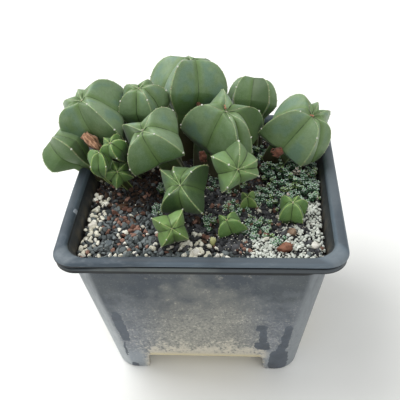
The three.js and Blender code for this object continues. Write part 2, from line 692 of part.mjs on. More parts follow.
group.add(meshOf("pot", pot(), [0, 0, 0], POT_BLACK, 0.55));
group.add(meshOf("gravel_fill", fill(), [0, 0, 0], GRAVEL_GREY, 0.95));
HEADS.forEach((head, n) => {
  const colour = head.name.startsWith("pup") ? PUP_GREEN : CACTUS_GREEN;
  group.add(meshOf(head.name, headSolids[n], head.at, colour, 0.6));
});
WITHERED_FLOWERS.forEach((flower, n) => {
  group.add(meshOf(flower.name, flowerSolids[n], [0, 0, 0], WITHERED_BROWN, 0.9));
});
CREEPERS.forEach((mat, n) => {
  group.add(meshOf(mat.name, creeperSolids[n], [0, 0, 0], CREEPER_GREEN, 0.7));
});
STONES.forEach((piece, n) => {
  group.add(meshOf(piece.name, stoneSolids[n], [piece.at[0], piece.at[1], 0], piece.tone, 0.95));
});
BARK.forEach((piece, n) => {
  group.add(meshOf(piece.name, barkSolids[n], [piece.at[0], piece.at[1], 0], piece.tone, 0.95));
});

export default group;
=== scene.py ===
from collections import namedtuple
from functools import partial

import bmesh
import bpy
import mathutils
import numpy as np
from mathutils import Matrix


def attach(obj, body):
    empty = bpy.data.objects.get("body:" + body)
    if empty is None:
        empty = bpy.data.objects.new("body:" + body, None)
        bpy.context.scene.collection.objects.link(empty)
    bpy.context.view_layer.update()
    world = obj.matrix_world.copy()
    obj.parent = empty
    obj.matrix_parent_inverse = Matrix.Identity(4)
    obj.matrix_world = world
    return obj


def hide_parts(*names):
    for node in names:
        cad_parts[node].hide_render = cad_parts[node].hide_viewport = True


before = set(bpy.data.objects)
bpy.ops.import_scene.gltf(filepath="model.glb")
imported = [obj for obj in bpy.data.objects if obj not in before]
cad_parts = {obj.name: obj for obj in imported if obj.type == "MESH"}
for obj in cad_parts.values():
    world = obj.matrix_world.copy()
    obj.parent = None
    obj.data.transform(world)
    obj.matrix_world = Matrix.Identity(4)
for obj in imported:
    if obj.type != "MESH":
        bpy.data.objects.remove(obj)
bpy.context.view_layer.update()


# Pot: one piece of black polypropylene, injection moulded, with a rolled rim over a thin
# band and four corner feet. Sun has greyed it and hard water has left a film of pale lime
# that is thickest near the feet, where drips have washed a few dark runs clean.
MM = 0.001
POT_X = 9.8
POT_MIDDLE = np.array([POT_X, 0, 0])
BODY_TOP_HALF = 68.1
BODY_TOP_RADIUS = 15.0
BODY_TOP = 90.5
RIM_BOTTOM = 92.6
FOOT_HALF = 53.0
FOOT_RADIUS = 13.0
FOOT_WALL = 3.0
FOOT_HEIGHT = 12.0
FLOOR_TOP = 14.5
WALL = 2.2
NOTCH_HALF = 33.2
NOTCH_CORNER = 1.8
FOOT_CORNER = 2.4
DRAIN_RADIUS = 4.5
DRAIN_SPACING = 27.0


def square_columns():
    """The columns round a quarter of the pot: first the corner's arc in degrees, then the straight
    run. A column on the run keeps its distance from the middle inside the arch, and outside it
    spreads over the rest of the side. Lift is how far the pot's bottom edge rises there."""
    arc = np.linspace(0, 90, 13)
    spread = np.array([0.8, 0.6, 0.36, 0.26, 0.16, 0.08, 0.03, 0.004])
    inward = FOOT_CORNER - (FOOT_HALF - FOOT_RADIUS - NOTCH_HALF) * spread
    toe_lift = FOOT_CORNER - np.sqrt(FOOT_CORNER**2 - inward.clip(0) ** 2)
    turn = np.radians(np.linspace(0, 90, 7))
    arch_at = NOTCH_HALF - NOTCH_CORNER + NOTCH_CORNER * np.cos(turn)
    arch_lift = FOOT_HEIGHT - NOTCH_CORNER + NOTCH_CORNER * np.sin(turn)
    middle = np.linspace(-18, 18, 5)
    along = np.concatenate([-NOTCH_HALF - spread, -arch_at, middle, arch_at[::-1], NOTCH_HALF + spread[::-1]])
    stretch = np.concatenate([spread, np.zeros(2 * len(turn) + len(middle)), spread[::-1]])
    crown = np.full(len(middle), FOOT_HEIGHT)
    lift = np.concatenate([toe_lift, arch_lift, crown, arch_lift[::-1], toe_lift[::-1]])
    is_arc = np.concatenate([np.ones(len(arc), bool), np.zeros(len(along), bool)])
    return {
        "is_arc": np.tile(is_arc, 4),
        "arc": np.tile(np.concatenate([arc, 0 * along]), 4),
        "along": np.tile(np.concatenate([0 * arc, along]), 4),
        "stretch": np.tile(np.concatenate([0 * arc, stretch]), 4),
        "lift": np.tile(np.concatenate([0 * arc, lift]), 4),
        "quarter": np.repeat(np.arange(4), len(is_arc)),
    }


COLUMNS = square_columns()


def square_ring(half, radius, share=1.0):
    """Places round a square of that half width whose corners are arcs about centres
    half - radius out, one column for each of COLUMNS, drawn in to a share of its size."""
    quarter = 90.0 * COLUMNS["quarter"]
    turn = np.radians(quarter + COLUMNS["arc"])
    corner = np.radians(quarter + 45)
    arc_x = np.sign(np.cos(corner)) * (half - radius) + radius * np.cos(turn)
    arc_y = np.sign(np.sin(corner)) * (half - radius) + radius * np.sin(turn)
    run = NOTCH_HALF + COLUMNS["stretch"] * (half - radius - NOTCH_HALF)
    along = np.where(COLUMNS["stretch"] > 0, np.sign(COLUMNS["along"]) * run, COLUMNS["along"])
    facing = np.radians(quarter + 90)
    side_x = np.cos(facing) * half - np.sin(facing) * along
    side_y = np.sin(facing) * half + np.cos(facing) * along
    x = np.where(COLUMNS["is_arc"], arc_x, side_x)
    y = np.where(COLUMNS["is_arc"], arc_y, side_y)
    return share * x, share * y


def body_half(z):
    """Half width of the pot's tapering body: it grows evenly from the feet to the band."""
    return FOOT_HALF + (BODY_TOP_HALF - FOOT_HALF) * z / BODY_TOP


def body_radius(z):
    """Corner radius of the body, growing the same way."""
    return FOOT_RADIUS + (BODY_TOP_RADIUS - FOOT_RADIUS) * z / BODY_TOP


def closed_skin(rings, low, high):
    """Points and faces of a closed skin: quads between each ring and the next, and a fan from a
    pole at each end. Rings run anticlockwise about the way that the rows rise."""
    rows, columns = rings.shape[:2]
    here = np.arange(rows * columns).reshape(rows, columns)
    beside = np.roll(here, -1, axis=1)
    quads = np.stack([here[:-1], beside[:-1], beside[1:], here[1:]], axis=-1).reshape(-1, 4)
    pole = np.full(columns, rows * columns)
    low_fan = np.stack([pole, beside[0], here[0]], axis=-1)
    high_fan = np.stack([pole + 1, here[-1], beside[-1]], axis=-1)
    points = np.concatenate([rings.reshape(-1, 3), [low], [high]])
    return points, [quads, low_fan, high_fan]


def make_piece(name, points, faces, material, **values):
    """An object from points in millimetres and blocks of three- or four-cornered faces, with one
    number a point for each name in values. It rides on the row's one body."""
    mesh = bpy.data.meshes.new(name)
    corners = np.concatenate([block.ravel() for block in faces]).astype(np.int32)
    sides = np.concatenate([np.full(len(block), block.shape[1]) for block in faces])
    starts = np.concatenate([[0], np.cumsum(sides)[:-1]]).astype(np.int32)
    mesh.vertices.add(len(points))
    mesh.vertices.foreach_set("co", (np.asarray(points) * MM).astype(np.float32).ravel())
    mesh.loops.add(len(corners))
    mesh.loops.foreach_set("vertex_index", corners)
    mesh.polygons.add(len(sides))
    mesh.polygons.foreach_set("loop_start", starts)
    mesh.polygons.foreach_set("use_smooth", np.ones(len(sides), dtype=bool))
    mesh.update(calc_edges=True)
    for label, numbers in values.items():
        layer = mesh.attributes.new(label, "FLOAT", "POINT")
        layer.data.foreach_set("value", np.asarray(numbers, dtype=np.float32))
    mesh.materials.append(material)
    piece = bpy.data.objects.new(name, mesh)
    bpy.context.scene.collection.objects.link(piece)
    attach(piece, "root")
    return piece


def step(value, low, high):
    """0 below low, 1 above high and an even slope between, for whole arrays."""
    return np.clip((value - low) / (high - low), 0, 1)


# The rim's outline from the band's lower edge, over the roll, to its inner lip: half width,
# corner radius and height.
RIM_PROFILE = (
    (73.2, 13, 92.7), (73.9, 13, 92.75), (74.3, 12.8, 93.1), (74.3, 12.8, 95.4), (74.0, 12.8, 95.75),
    (73.2, 12.8, 95.85), (71.6, 13, 95.9), (71.6, 13, 96.7), (73.6, 12.6, 96.75), (74.5, 12.4, 96.85),
    (74.95, 12.4, 97.3), (75, 12.4, 97.95), (74.85, 12.4, 98.65), (74.3, 12.6, 99.35),
    (73.5, 12.9, 99.8), (72.4, 13.3, 100), (71.2, 13.6, 99.95), (70.3, 13.8, 99.7),
    (69.6, 13.9, 99.25), (69.1, 13.7, 98.5), (68.7, 13.5, 97.4), (67.8, 13.2, 95.6),
)
RIM_WARP = 1.35
EDGE = 0.5


def pot_skin():
    """The whole pot as one profile carried round its columns: out under the floor, down inside the
    feet, over the bottom edge, up the wall, round the band and the rolled rim, down inside and
    in over the floor. The front left corner of the rim has warped inward and sags: both grow with
    the square of an even slope along the side. Also returns, for each point, how far round a
    corner it is from 0 to 1, whether it is on the rim and whether it is inside."""
    lift = COLUMNS["lift"]
    profile = []
    for share in (0.15, 0.4, 0.65, 0.85, 1.0):
        level = 0 * lift + FOOT_HEIGHT
        profile.append((level, body_half(level) - FOOT_WALL, body_radius(level) - FOOT_WALL, share))
    for down in (0.35, 0.7, 1.0):
        level = FOOT_HEIGHT + (lift - FOOT_HEIGHT) * down
        inset = FOOT_WALL - EDGE * (down == 1.0)
        profile.append((level, body_half(level) - inset, body_radius(level) - FOOT_WALL, 1.0))
    profile.append((lift, body_half(lift) - EDGE, body_radius(lift), 1.0))
    for up in np.linspace(0, 1, 15):
        level = lift + EDGE + (RIM_BOTTOM - lift - EDGE) * up
        profile.append((level, body_half(level), body_radius(level), 1.0))
    outside = len(profile)
    for half, radius, level in RIM_PROFILE:
        profile.append((0 * lift + level, half, radius, 1.0))
    top = len(profile)
    for level in np.linspace(93.5, FLOOR_TOP + 1.5, 9):
        half = body_half(level) - WALL
        profile.append((0 * lift + level, half, body_radius(level) - WALL, 1.0))
    for share in (0.985, 0.8, 0.55, 0.3):
        level = 0 * lift + FLOOR_TOP
        profile.append((level, body_half(level) - WALL, body_radius(level) - WALL, share))
    rings = []
    for level, half, radius, share in profile:
        x, y = square_ring(half, radius, share)
        warp = RIM_WARP * step(-x, 30, 65) * step(level, 80, 94) * step(-y, -20, 60) ** 2
        x = x + warp
        level = level - warp
        rings.append(np.stack([x + POT_X, y, level], axis=-1))
    low = [POT_X, 0, FOOT_HEIGHT]
    high = [POT_X, 0, FLOOR_TOP]
    points, faces = closed_skin(np.array(rings), low, high)
    round_corner = np.where(COLUMNS["is_arc"], np.sin(2 * np.radians(COLUMNS["arc"])), 0)
    corner = np.append(np.tile(round_corner, len(profile)), [0, 0])
    row = np.repeat(np.arange(len(profile)), len(lift))
    on_rim = np.append((row >= outside) & (row < top), [0, 0])
    inside = np.append(row >= top - 1, [0, 1])
    return points, faces, corner, on_rim, inside


def srgb(code):
    """Linear colour of a hex code, by the sRGB curve."""
    parts = np.array([int(code[i : i + 2], 16) for i in (0, 2, 4)]) / 255
    linear = np.where(parts <= 0.04045, parts / 12.92, ((parts + 0.055) / 1.055) ** 2.4)
    return (*linear, 1.0)


# The kinds of node that the materials are made of, each with its type, its settings, the sockets
# that its inputs go to and the output in use. A fade is a smooth step: its inputs are a number,
# two thresholds, and what it gives below the first and above the second. A mix goes from one
# colour to another by a share. Times and larger keep their result between 0 and 1.
NODES = {
    "coordinates": ("TexCoord", {}, (), "Object"),
    "attribute": ("Attribute", {}, (), "Fac"),
    "axes": ("SeparateXYZ", {}, (0,), "Z"),
    "mapping": ("Mapping", {}, ("Vector", "Scale", "Location", "Rotation"), 0),
    "noise": ("TexNoise", {}, ("Vector", "Scale", "Detail", "Roughness"), "Fac"),
    "fade": ("MapRange", {"interpolation_type": "SMOOTHSTEP"}, range(5), "Result"),
    "mix": ("Mix", {"data_type": "RGBA"}, (0, 6, 7), 2),
    "times": ("Math", {"operation": "MULTIPLY", "use_clamp": True}, (0, 1), 0),
    "larger": ("Math", {"operation": "MAXIMUM", "use_clamp": True}, (0, 1), 0),
    "smaller": ("Math", {"operation": "MINIMUM"}, (0, 1), 0),
    "plus": ("Math", {"operation": "ADD"}, (0, 1), 0),
    "minus": ("Math", {"operation": "SUBTRACT"}, (0, 1), 0),
    "unsigned": ("Math", {"operation": "ABSOLUTE"}, (0,), 0),
    "vector": ("VectorMath", {}, (0, 1, 2), 0),
    "bump": ("Bump", {}, ("Height", "Distance", "Normal"), "Normal"),
}


def add(tree, kind, *inputs, output=None, **settings):
    """A node of one of the kinds in NODES, with its settings and links. Each input is a value, a
    hex code for a colour, or another node's output. Returns the output in use, or the one named."""
    label, usual, sockets, result = NODES[kind]
    made = tree.nodes.new(f"ShaderNode{label}")
    for name, value in {**usual, **settings}.items():
        setattr(made, name, value)
    for socket, value in zip(sockets, inputs):
        if isinstance(value, bpy.types.NodeSocket):
            tree.links.new(value, made.inputs[socket])
        else:
            made.inputs[socket].default_value = srgb(value) if isinstance(value, str) else value
    return made.outputs[result if output is None else output]


def new_material(name, **shader):
    """A material with one Principled shader, whose sockets take the values given by their names
    with underscores for spaces. Returns it with add made ready for its nodes, and the object's
    own coordinates."""
    material = bpy.data.materials.new(name)
    material.use_nodes = True
    surface = material.node_tree.nodes["Principled BSDF"]
    for label, value in shader.items():
        surface.inputs[label.replace("_", " ")].default_value = value
    node = partial(add, material.node_tree)
    return material, node, node("coordinates")


def paint(material, colour, normal=None, rough=None):
    """Joins a colour, a bump and a roughness to the material's shader."""
    surface = material.node_tree.nodes["Principled BSDF"]
    for label, output in (("Base Color", colour), ("Normal", normal), ("Roughness", rough)):
        if output is not None:
            material.node_tree.links.new(output, surface.inputs[label])


def blotches(node, place, size, detail=3.0, rough=0.55, stretch=(1, 1, 1)):
    """Soft blotches about that many millimetres across, drawn out by stretch."""
    spread = node("mapping", place, [1 / s for s in stretch])
    return node("noise", spread, 1 / (size * MM), detail, rough)


def total(node, first, *others):
    """The sum of several numbers, not kept to any range."""
    for other in others:
        first = node("plus", first, other)
    return first


def spot(node, place, centre, half_sizes, lean=0.0):
    """1 inside a rounded box of those half sizes, leaning in the wall's plane, and 0 outside: the
    fourth powers of the three offsets add up to less than 1. Noise about 3 mm across tears its
    edge by a millimetre or so."""
    torn = node("noise", place, 330.0, 3.0, output="Color")
    shift = node("vector", torn, (0.5, 0.5, 0.5), operation="SUBTRACT")
    moved = node("vector", shift, (3 * MM, 3 * MM, 3 * MM), place, operation="MULTIPLY_ADD")
    where = [(centre[0] + POT_X) * MM, centre[1] * MM, centre[2] * MM]
    scale = [size * MM for size in half_sizes]
    local = node("mapping", moved, scale, where, (0, lean, 0), vector_type="TEXTURE")
    square = node("vector", local, local, operation="MULTIPLY")
    fourth = node("vector", square, square, operation="DOT_PRODUCT", output="Value")
    return node("fade", fourth, 1.1, 0.75)


# Runs on the walls that drips have washed clean: centre from the pot's middle, half sizes, lean.
WASHED_RUNS = (
    ((-45.8, -60, 39.5), (2.9, 12, 14), -0.13),
    ((-45.6, -56, 18), (0.7, 12, 7), 0.0),
    ((32.5, -60, 40), (3.2, 12, 2.8), 0.0),
    ((33.3, -59, 32), (2.3, 12, 9), 0.0),
    ((32.8, -57, 23.4), (4.3, 12, 3.8), 0.0),
    ((46.4, -59, 34), (2.3, 12, 9.5), 0.14),
    ((44.2, -56, 22), (2.6, 12, 9), 0.28),
    ((42.2, -54, 8.5), (5.5, 12, 10.5), 0.05),
    ((-41.8, -54, 1.5), (2.0, 12, 2.3), 0.0),
    ((-22, 58, 30), (3.4, 12, 14), 0.12),
    ((38, 60, 42), (2.6, 12, 10), -0.08),
    ((-60, 14, 33), (12, 3.4, 13), 0.0),
    ((60, -12, 26), (12, 3.8, 12), 0.0),
)


def pot_plastic():
    """Greyed polypropylene. Its corners are rubbed to a silvery sheen, partly real wear and partly a
    painted highlight that is lighter at the left, the lime film thins out up the wall and breaks
    into fine specks, it is sandy over the arches, and the runs washed clean show the darker plastic."""
    material, node, place = new_material("moulded_polypropylene", IOR=1.49, Specular_IOR_Level=0.35)
    axes = node("axes", place).node.outputs
    height, across, back = axes["Z"], axes["X"], axes["Y"]
    off_x = node("minus", across, POT_X * MM)
    wide_x = node("unsigned", off_x)
    along = node("smaller", wide_x, node("unsigned", back))
    cloud = blotches(node, place, 26, 3.0, 0.55)
    blotch = blotches(node, place, 7, 4.0, 0.6)
    fine = blotches(node, place, 1.5, 3.0, 0.65)
    speck = blotches(node, place, 0.9, 2.0, 0.5)

    # Lime film, broken by pale flecks, gaps down to the plastic, and fine specks.
    plastic = node("mix", node("fade", cloud, 0.36, 0.64), "40474f", "4c5256")
    drift = total(
        node,
        node("fade", height, 98 * MM, 12 * MM, -0.04, 0.88),
        node("fade", wide_x, 16 * MM, 46 * MM, 0.02, -0.16),
        node("fade", cloud, 0.3, 0.7, -0.1, 0.1),
        node("fade", blotch, 0.3, 0.7, -0.14, 0.14),
    )
    film = node("times", drift, 1.0)
    lime = node("mix", node("fade", wide_x, 14 * MM, 44 * MM), "98978f", "8a8f97")
    coat = node("mix", film, plastic, lime)
    low_film = node("times", node("fade", height, 92 * MM, 6 * MM), film)
    flecks = node("times", node("fade", fine, 0.52, 0.68), low_film)
    coat = node("mix", node("times", flecks, 0.8), coat, "c2beb2")
    gaps = node("times", node("fade", fine, 0.47, 0.33), node("fade", drift, 0.15, 0.6, 0.1, 0.62))
    coat = node("mix", gaps, coat, "4c5258")
    specks = node("times", node("fade", speck, 0.6, 0.72), node("fade", drift, 0.2, 0.5, 0.1, 0.5))
    coat = node("mix", specks, coat, "c8c5b8")

    # Sandy lime over the arches, its thick edge along them, and the greyer feet.
    sand = total(
        node,
        node("fade", height, 34 * MM, 12 * MM, 0.0, 0.8),
        node("fade", node("fade", along, 38 * MM, 22 * MM), 0.0, 1.0, -0.25, 0.0),
        node("fade", blotch, 0.3, 0.7, -0.28, 0.28),
        node("fade", fine, 0.3, 0.7, -0.2, 0.2),
    )
    sand = node("times", node("fade", sand, 0.24, 0.74), node("fade", along, 40 * MM, 33 * MM))
    coat = node("mix", node("times", sand, 0.68), coat, "cfc8b8")
    arch_edge = node("times", node("fade", height, 16 * MM, 13 * MM), node("fade", along, 33 * MM, 31 * MM))
    coat = node("mix", node("times", arch_edge, 0.75), coat, "d6caa4")
    foot = node("times", node("fade", along, 33 * MM, 37 * MM), node("fade", height, 24 * MM, 10 * MM))
    coat = node("mix", node("times", foot, 0.75), coat, "939aa1")

    # Silvery rubbed corners, partly real wear and partly a painted highlight that is lighter at the
    # left, the washed runs, and the dark line under the rim, which is a painted shadow.
    corner = node("attribute", attribute_name="corner")
    streak = blotches(node, place, 1.6, 2.0, 0.5, (1, 1, 14))
    # Partly wear and partly painted highlight: the corners turn silvery, lighter at the left than at the
    # right.
    rubbed_and_lit = node("times", node("fade", corner, 0.35, 0.8), node("fade", streak, 0.3, 0.65, 0.7, 1.0))
    rubbed_and_lit_tone = node("mix", node("fade", height, 80 * MM, 25 * MM), "92979b", "adb2b5")
    rubbed_and_lit_tone = node("mix", node("fade", off_x, -20 * MM, 20 * MM, 0.0, 0.7), rubbed_and_lit_tone, "6c7277")
    coat = node("mix", node("times", rubbed_and_lit, 0.9), coat, rubbed_and_lit_tone)
    runs = spot(node, place, *WASHED_RUNS[0])
    for run in WASHED_RUNS[1:]:
        runs = node("larger", runs, spot(node, place, *run))
    clean_wall = node("mix", node("fade", blotch, 0.35, 0.65), "444b54", "525963")
    coat = node("mix", node("times", runs, 0.9), coat, clean_wall)
    # Painted shadow: the wall just under the band turns near black where the band overhangs it.
    coat = node("mix", node("fade", height, 85.4 * MM, 86.3 * MM, 0.0, 0.94), coat, "0d1012")

    # The rim: worn and scratched, dark on top, with a painted highlight that makes it paler at the
    # right, and with one scuff at the left.
    worn = blotches(node, place, 22, 2.0, 0.35, (2.0, 2.0, 1))
    rim = node("mix", node("fade", worn, 0.4, 0.6), "424d57", "55626d")
    scratch = blotches(node, place, 1.0, 3.0, 0.6, (6, 6, 1))
    rim = node("mix", node("fade", scratch, 0.5, 0.75, 0.0, 0.3), rim, "7d858b")
    rim = node("mix", node("times", rubbed_and_lit, 0.4), rim, "7f878c")
    top = node("times", node("fade", height, 99.2 * MM, 99.8 * MM), node("fade", corner, 0.5, 0.1))
    rim = node("mix", node("times", top, 0.65), rim, "353b42")
    # Painted highlight: the upper face of the roll is paler at the right, broken by the worn blotches.
    pale = node("times", node("fade", off_x, 8 * MM, 30 * MM), node("fade", height, 97.2 * MM, 98.6 * MM))
    rim = node("mix", node("times", pale, node("fade", worn, 0.62, 0.42, 0.05, 0.34)), rim, "818b92")
    away = node("times", node("fade", off_x, -60 * MM, -66 * MM), node("fade", back, -56 * MM, -46 * MM))
    rim = node("mix", node("times", away, 0.4), rim, "343b41")
    rim = node("mix", spot(node, place, (-68.4, -30.5, 99), (1.7, 2.0, 6)), rim, "8d949d")

    # The band under the roll, limed over the middle, with a painted shadow along its lower edge, and a
    # painted shadow in the groove between the two.
    limed = node("times", node("fade", off_x, 14 * MM, 6 * MM), node("fade", off_x, -56 * MM, -48 * MM))
    limed = node("times", limed, node("fade", blotch, 0.3, 0.55, 0.45, 1.0))
    band = node("mix", limed, "3f454a", "585e5e")
    # Painted shadow along the band's lower edge and underside.
    band = node("mix", node("fade", height, 93.8 * MM, 93.4 * MM, 0.0, 0.85), band, "0f1315")
    rim = node("mix", node("fade", height, 95.9 * MM, 95.7 * MM), rim, band)
    # Painted shadow: the groove under the roll's overhang turns near black.
    groove = node("fade", height, 95.65 * MM, 95.8 * MM)
    groove = node("times", groove, node("fade", height, 96.95 * MM, 96.8 * MM))
    rim = node("mix", node("times", groove, 0.92), rim, "14171a")
    coat = node("mix", node("attribute", attribute_name="rim"), coat, rim)

    # Silt streaks inside.
    silt = blotches(node, place, 5, 4.0, 0.6, (1, 1, 3))
    silt = node("mix", node("fade", silt, 0.38, 0.65), "2c2e30", "4d483f")
    silt = node("mix", node("fade", height, 97 * MM, 90 * MM), "2a2e32", silt)
    coat = node("mix", node("attribute", attribute_name="inside"), coat, silt)
    relief = node("bump", blotches(node, place, 0.7, 3.0, 0.6), 0.05 * MM)
    relief = node("bump", blotches(node, place, 24, 2.0, 0.4), 0.5 * MM, relief)
    relief = node("bump", fine, 0.06 * MM, relief)
    paint(material, coat, relief, node("fade", blotch, 0.3, 0.7, 0.46, 0.62))
    return material


def cut_holes(piece, centres, radius, low, high):
    """Cuts round upright holes through a piece."""
    turn = np.radians(np.linspace(0, 360, 24, endpoint=False))
    for number, (x, y) in enumerate(centres):
        ring = np.stack([x + radius * np.cos(turn), y + radius * np.sin(turn)], axis=-1)
        rings = np.array([np.column_stack([ring, np.full(len(turn), z)]) for z in (low, high)])
        points, faces = closed_skin(rings, [x, y, low], [x, y, high])
        punch = make_piece(f"punch_{number}", points, faces, piece.data.materials[0])
        cut = piece.modifiers.new("drain", "BOOLEAN")
        cut.object = punch
        cut.solver = "EXACT"
        graph = bpy.context.evaluated_depsgraph_get()
        done = bpy.data.meshes.new_from_object(piece.evaluated_get(graph))
        piece.modifiers.clear()
        piece.data = done
        bpy.data.objects.remove(punch)


def clean(piece, crease=None):
    """Merges doubled points, drops faces of no area and, given a crease angle in degrees, keeps
    the edges over it sharp."""
    work = bmesh.new()
    work.from_mesh(piece.data)
    bmesh.ops.remove_doubles(work, verts=work.verts, dist=0.004 * MM)
    bmesh.ops.dissolve_degenerate(work, edges=work.edges, dist=0.004 * MM)
    work.to_mesh(piece.data)
    work.free()
    if crease is not None:
        piece.data.set_sharp_from_angle(angle=np.radians(crease))


points, faces, corner, on_rim, inside = pot_skin()
pot = make_piece("nursery_pot", points, faces, pot_plastic(), corner=corner, rim=on_rim, inside=inside)
clean(pot)
holes = [(POT_X + x * DRAIN_SPACING, y * DRAIN_SPACING) for x in (-1, 1) for y in (-1, 1)]
cut_holes(pot, [(POT_X, 0), *holes], DRAIN_RADIUS, FOOT_HEIGHT - 2, FLOOR_TOP + 2)
clean(pot, 40)
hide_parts("pot")


# Heads: ten grown stems and seven pups of bishop's cap cactus. Each is one living body with
# four to six broad ribs, a pale cord along every crest, a dark pleat between each two, and
# a sunken crown. The skin is waxy, with a thin grey bloom that thins out low on the flanks,
# where the green is also painted darker as shade.
SOIL_LEVEL = 88.0
ROOT_DEPTH = 4.0
CREASE_DEPTH = 0.9
CROWN_CREASE_DEPTH = 0.42
STEM_CREASE_DEPTH = 0.97
FLANK_BULGE = 0.035
CROWN_POWER = 0.85
CROWN_SINK = 0.2
CROWN_SINK_WIDTH = 0.38
KNEE_SHARE = 0.45
UNDERSIDE = 0.4
STEM_SLOW = 1.3
CREST_ROUND = 0.22
CREST_CORD = 0.14
CREST_CORD_WIDTH = 0.45
PLEAT_DEPTH = 0.6
PLEAT_WIDTH = 0.55
RIPPLE = 0.08
RIPPLES = 7

# Each head: the centre of its widest ring from the pot's middle, how far its axis leans and
# toward which bearing, the radius of its crests, the rise of its crown, the bearings of its
# ribs, how far each reaches as a share of that radius, where its stem meets the soil, the
# stem's radius as a share of the crests', and the areoles that still hold white wool, each as
# a rib and a station down it (0 the crown, 1 the widest ring, 2 the root).
Head = namedtuple("Head", "at lean toward radius rise bearings reaches root stem white")
HEADS = {
    "head_front_right": Head(
        (17.8, -16.8, 116.8), 60, 282, 14.8, 13, (342, 22, 84, 153, 241), (0.9, 0.86, 1.02, 0.97, 0.98),
        (17, 5), 0.3, ((3, 0.2), (3, 0.75), (0, 0.85), (4, 0.5), (2, 0.8)),
    ),
    "head_front_middle": Head(
        (-7.9, -23.9, 107.2), 43, 253, 17.2, 15.3, (48, 116, 141, 221, 305), (1.02, 0.84, 1.08, 1.02, 0.93),
        (-9, -9), 0.4, ((0, 0.3), (3, 0.23), (1, 0.33), (4, 0.9), (2, 0.9)),
    ),
    "head_front_left": Head(
        (-26.3, 1.3, 121), 35, 230, 21.4, 19.4, (61, 150, 234, 331), (1, 1.04, 0.99, 0.96), (-15, 17), 0.36,
        ((0, 0.93), (3, 0.25), (3, 0.95), (2, 0.08), (2, 0.8), (1, 0.95)),
    ),
    "head_middle_left": Head(
        (-37, 30.2, 131.2), 10, 248, 14.9, 13.8, (13, 67, 147, 213, 300), (1.1, 1, 0.97, 1.01, 1.01),
        (-31, 36), 0.6, ((4, 0.5), (0, 0.7), (3, 0.6)),
    ),
    "head_left": Head(
        (-60.6, 23.9, 122.6), 31, 212, 24.2, 25.2, (56, 112, 157, 196, 312), (1, 0.8, 1, 1, 1), (-46, 36),
        0.55, ((3, 0.79), (4, 0.19), (4, 0.83), (2, 0.5), (0, 0.6)),
    ),
    "head_centre": Head(
        (8, 17.9, 116), 22, 305, 24.7, 27, (21, 96, 172, 291, 324), (1.08, 1.06, 0.93, 1.03, 0.91), (5, 24),
        0.6, ((2, 0.37), (2, 0.95), (0, 0.53), (4, 0.6), (3, 0.1), (0, 1.0)),
    ),
    "head_right": Head(
        (50.8, 28.4, 108.8), 33, 330, 23.2, 27, (37, 70, 110, 191, 284, 338),
        (1.06, 0.93, 1.04, 1, 0.87, 0.86), (41, 38), 0.45,
        ((3, 0.21), (3, 0.93), (4, 0.47), (3, 1.2), (0, 0.7), (1, 0.5)),
    ),
    "head_far_left": Head(
        (-81.8, 15.5, 108.1), 52, 168, 15.4, 13.5, (6, 78, 150, 225, 300), (1, 1, 0.98, 1.06, 1.18),
        (-54, 19), 0.4, ((4, 1.07), (3, 0.6), (1, 0.5)),
    ),
    "head_back": Head(
        (-11.5, 51.9, 130.4), 18, 66, 24.4, 20.8, (48, 106, 165, 250, 350), (0.97, 0.92, 1.05, 1.03, 0.98),
        (-11, 47), 0.6, ((3, 0.49), (1, 0.6), (2, 0.9), (0, 0.8)),
    ),
    "head_back_right": Head(
        (25.9, 56.6, 118), 35, 76, 15.6, 17.4, (0, 60, 128, 178, 229, 314), (1.03, 1, 1, 0.95, 1, 1.02),
        (23, 54), 0.6, ((4, 0.75), (0, 0.5), (2, 0.7)),
    ),
}
PUPS = {
    "pup_front": Head(
        (-15, -46, 98.9), 56, 283, 11.3, 10.2, (58, 153, 243, 327), (1, 0.99, 0.98, 0.99), (-14, -37), 0.5,
        ((1, 0.39), (3, 0.23), (2, 0.33), (0, 0.95), (1, 0.95), (2, 0.95)),
    ),
    "pup_front_right": Head(
        (15.6, -37.6, 92.7), 20, 219, 9.2, 8.2, (64, 133, 224, 344), (0.93, 1, 0.9, 1.06), (17, -36), 0.6,
        ((3, 0.6), (2, 0.9), (0, 0.9)),
    ),
    "pup_right": Head(
        (48.5, -25.2, 94.4), 12, 284, 9.7, 9, (61, 128, 221, 305, 24), (0.96, 1.01, 1, 0.99, 1), (48, -23),
        0.7, ((2, 0.9), (3, 0.8), (1, 0.9)),
    ),
    "pup_right_small": Head(
        (25.1, -13.7, 92.7), 20, 253, 6.4, 5.8, (61, 130, 222, 320), (1, 0.98, 0.97, 0.98), (26, -13), 0.6,
        ((3, 0.9), (1, 0.9)),
    ),
    "pup_left_low": Head(
        (-49.4, -2, 103.7), 47, 281, 8.3, 7.1, (50, 114, 187, 267, 347), (0.98, 0.97, 1.38, 1.08, 1.12),
        (-44, 8), 0.35, ((2, 0.95), (3, 0.9)),
    ),
    "pup_left_outer": Head(
        (-57.8, -6.5, 114.2), 4, 60, 8.6, 7.8, (40, 148, 244, 306), (0.95, 1.05, 0.95, 0.95), (-42, 14),
        0.2, ((3, 0.9), (2, 0.9)),
    ),
    "pup_left_high": Head(
        (-49.5, -3.7, 122.1), 34, 249, 7.9, 6.9, (19, 70, 135, 201, 292), (0.97, 1, 1, 0.98, 0.99),
        (-40, 22), 0.4, ((4, 0.9), (0, 0.9)),
    ),
}


def unit(vectors):
    """Vectors along the last axis, each drawn to a length of 1."""
    return vectors / np.linalg.norm(vectors, axis=-1, keepdims=True)


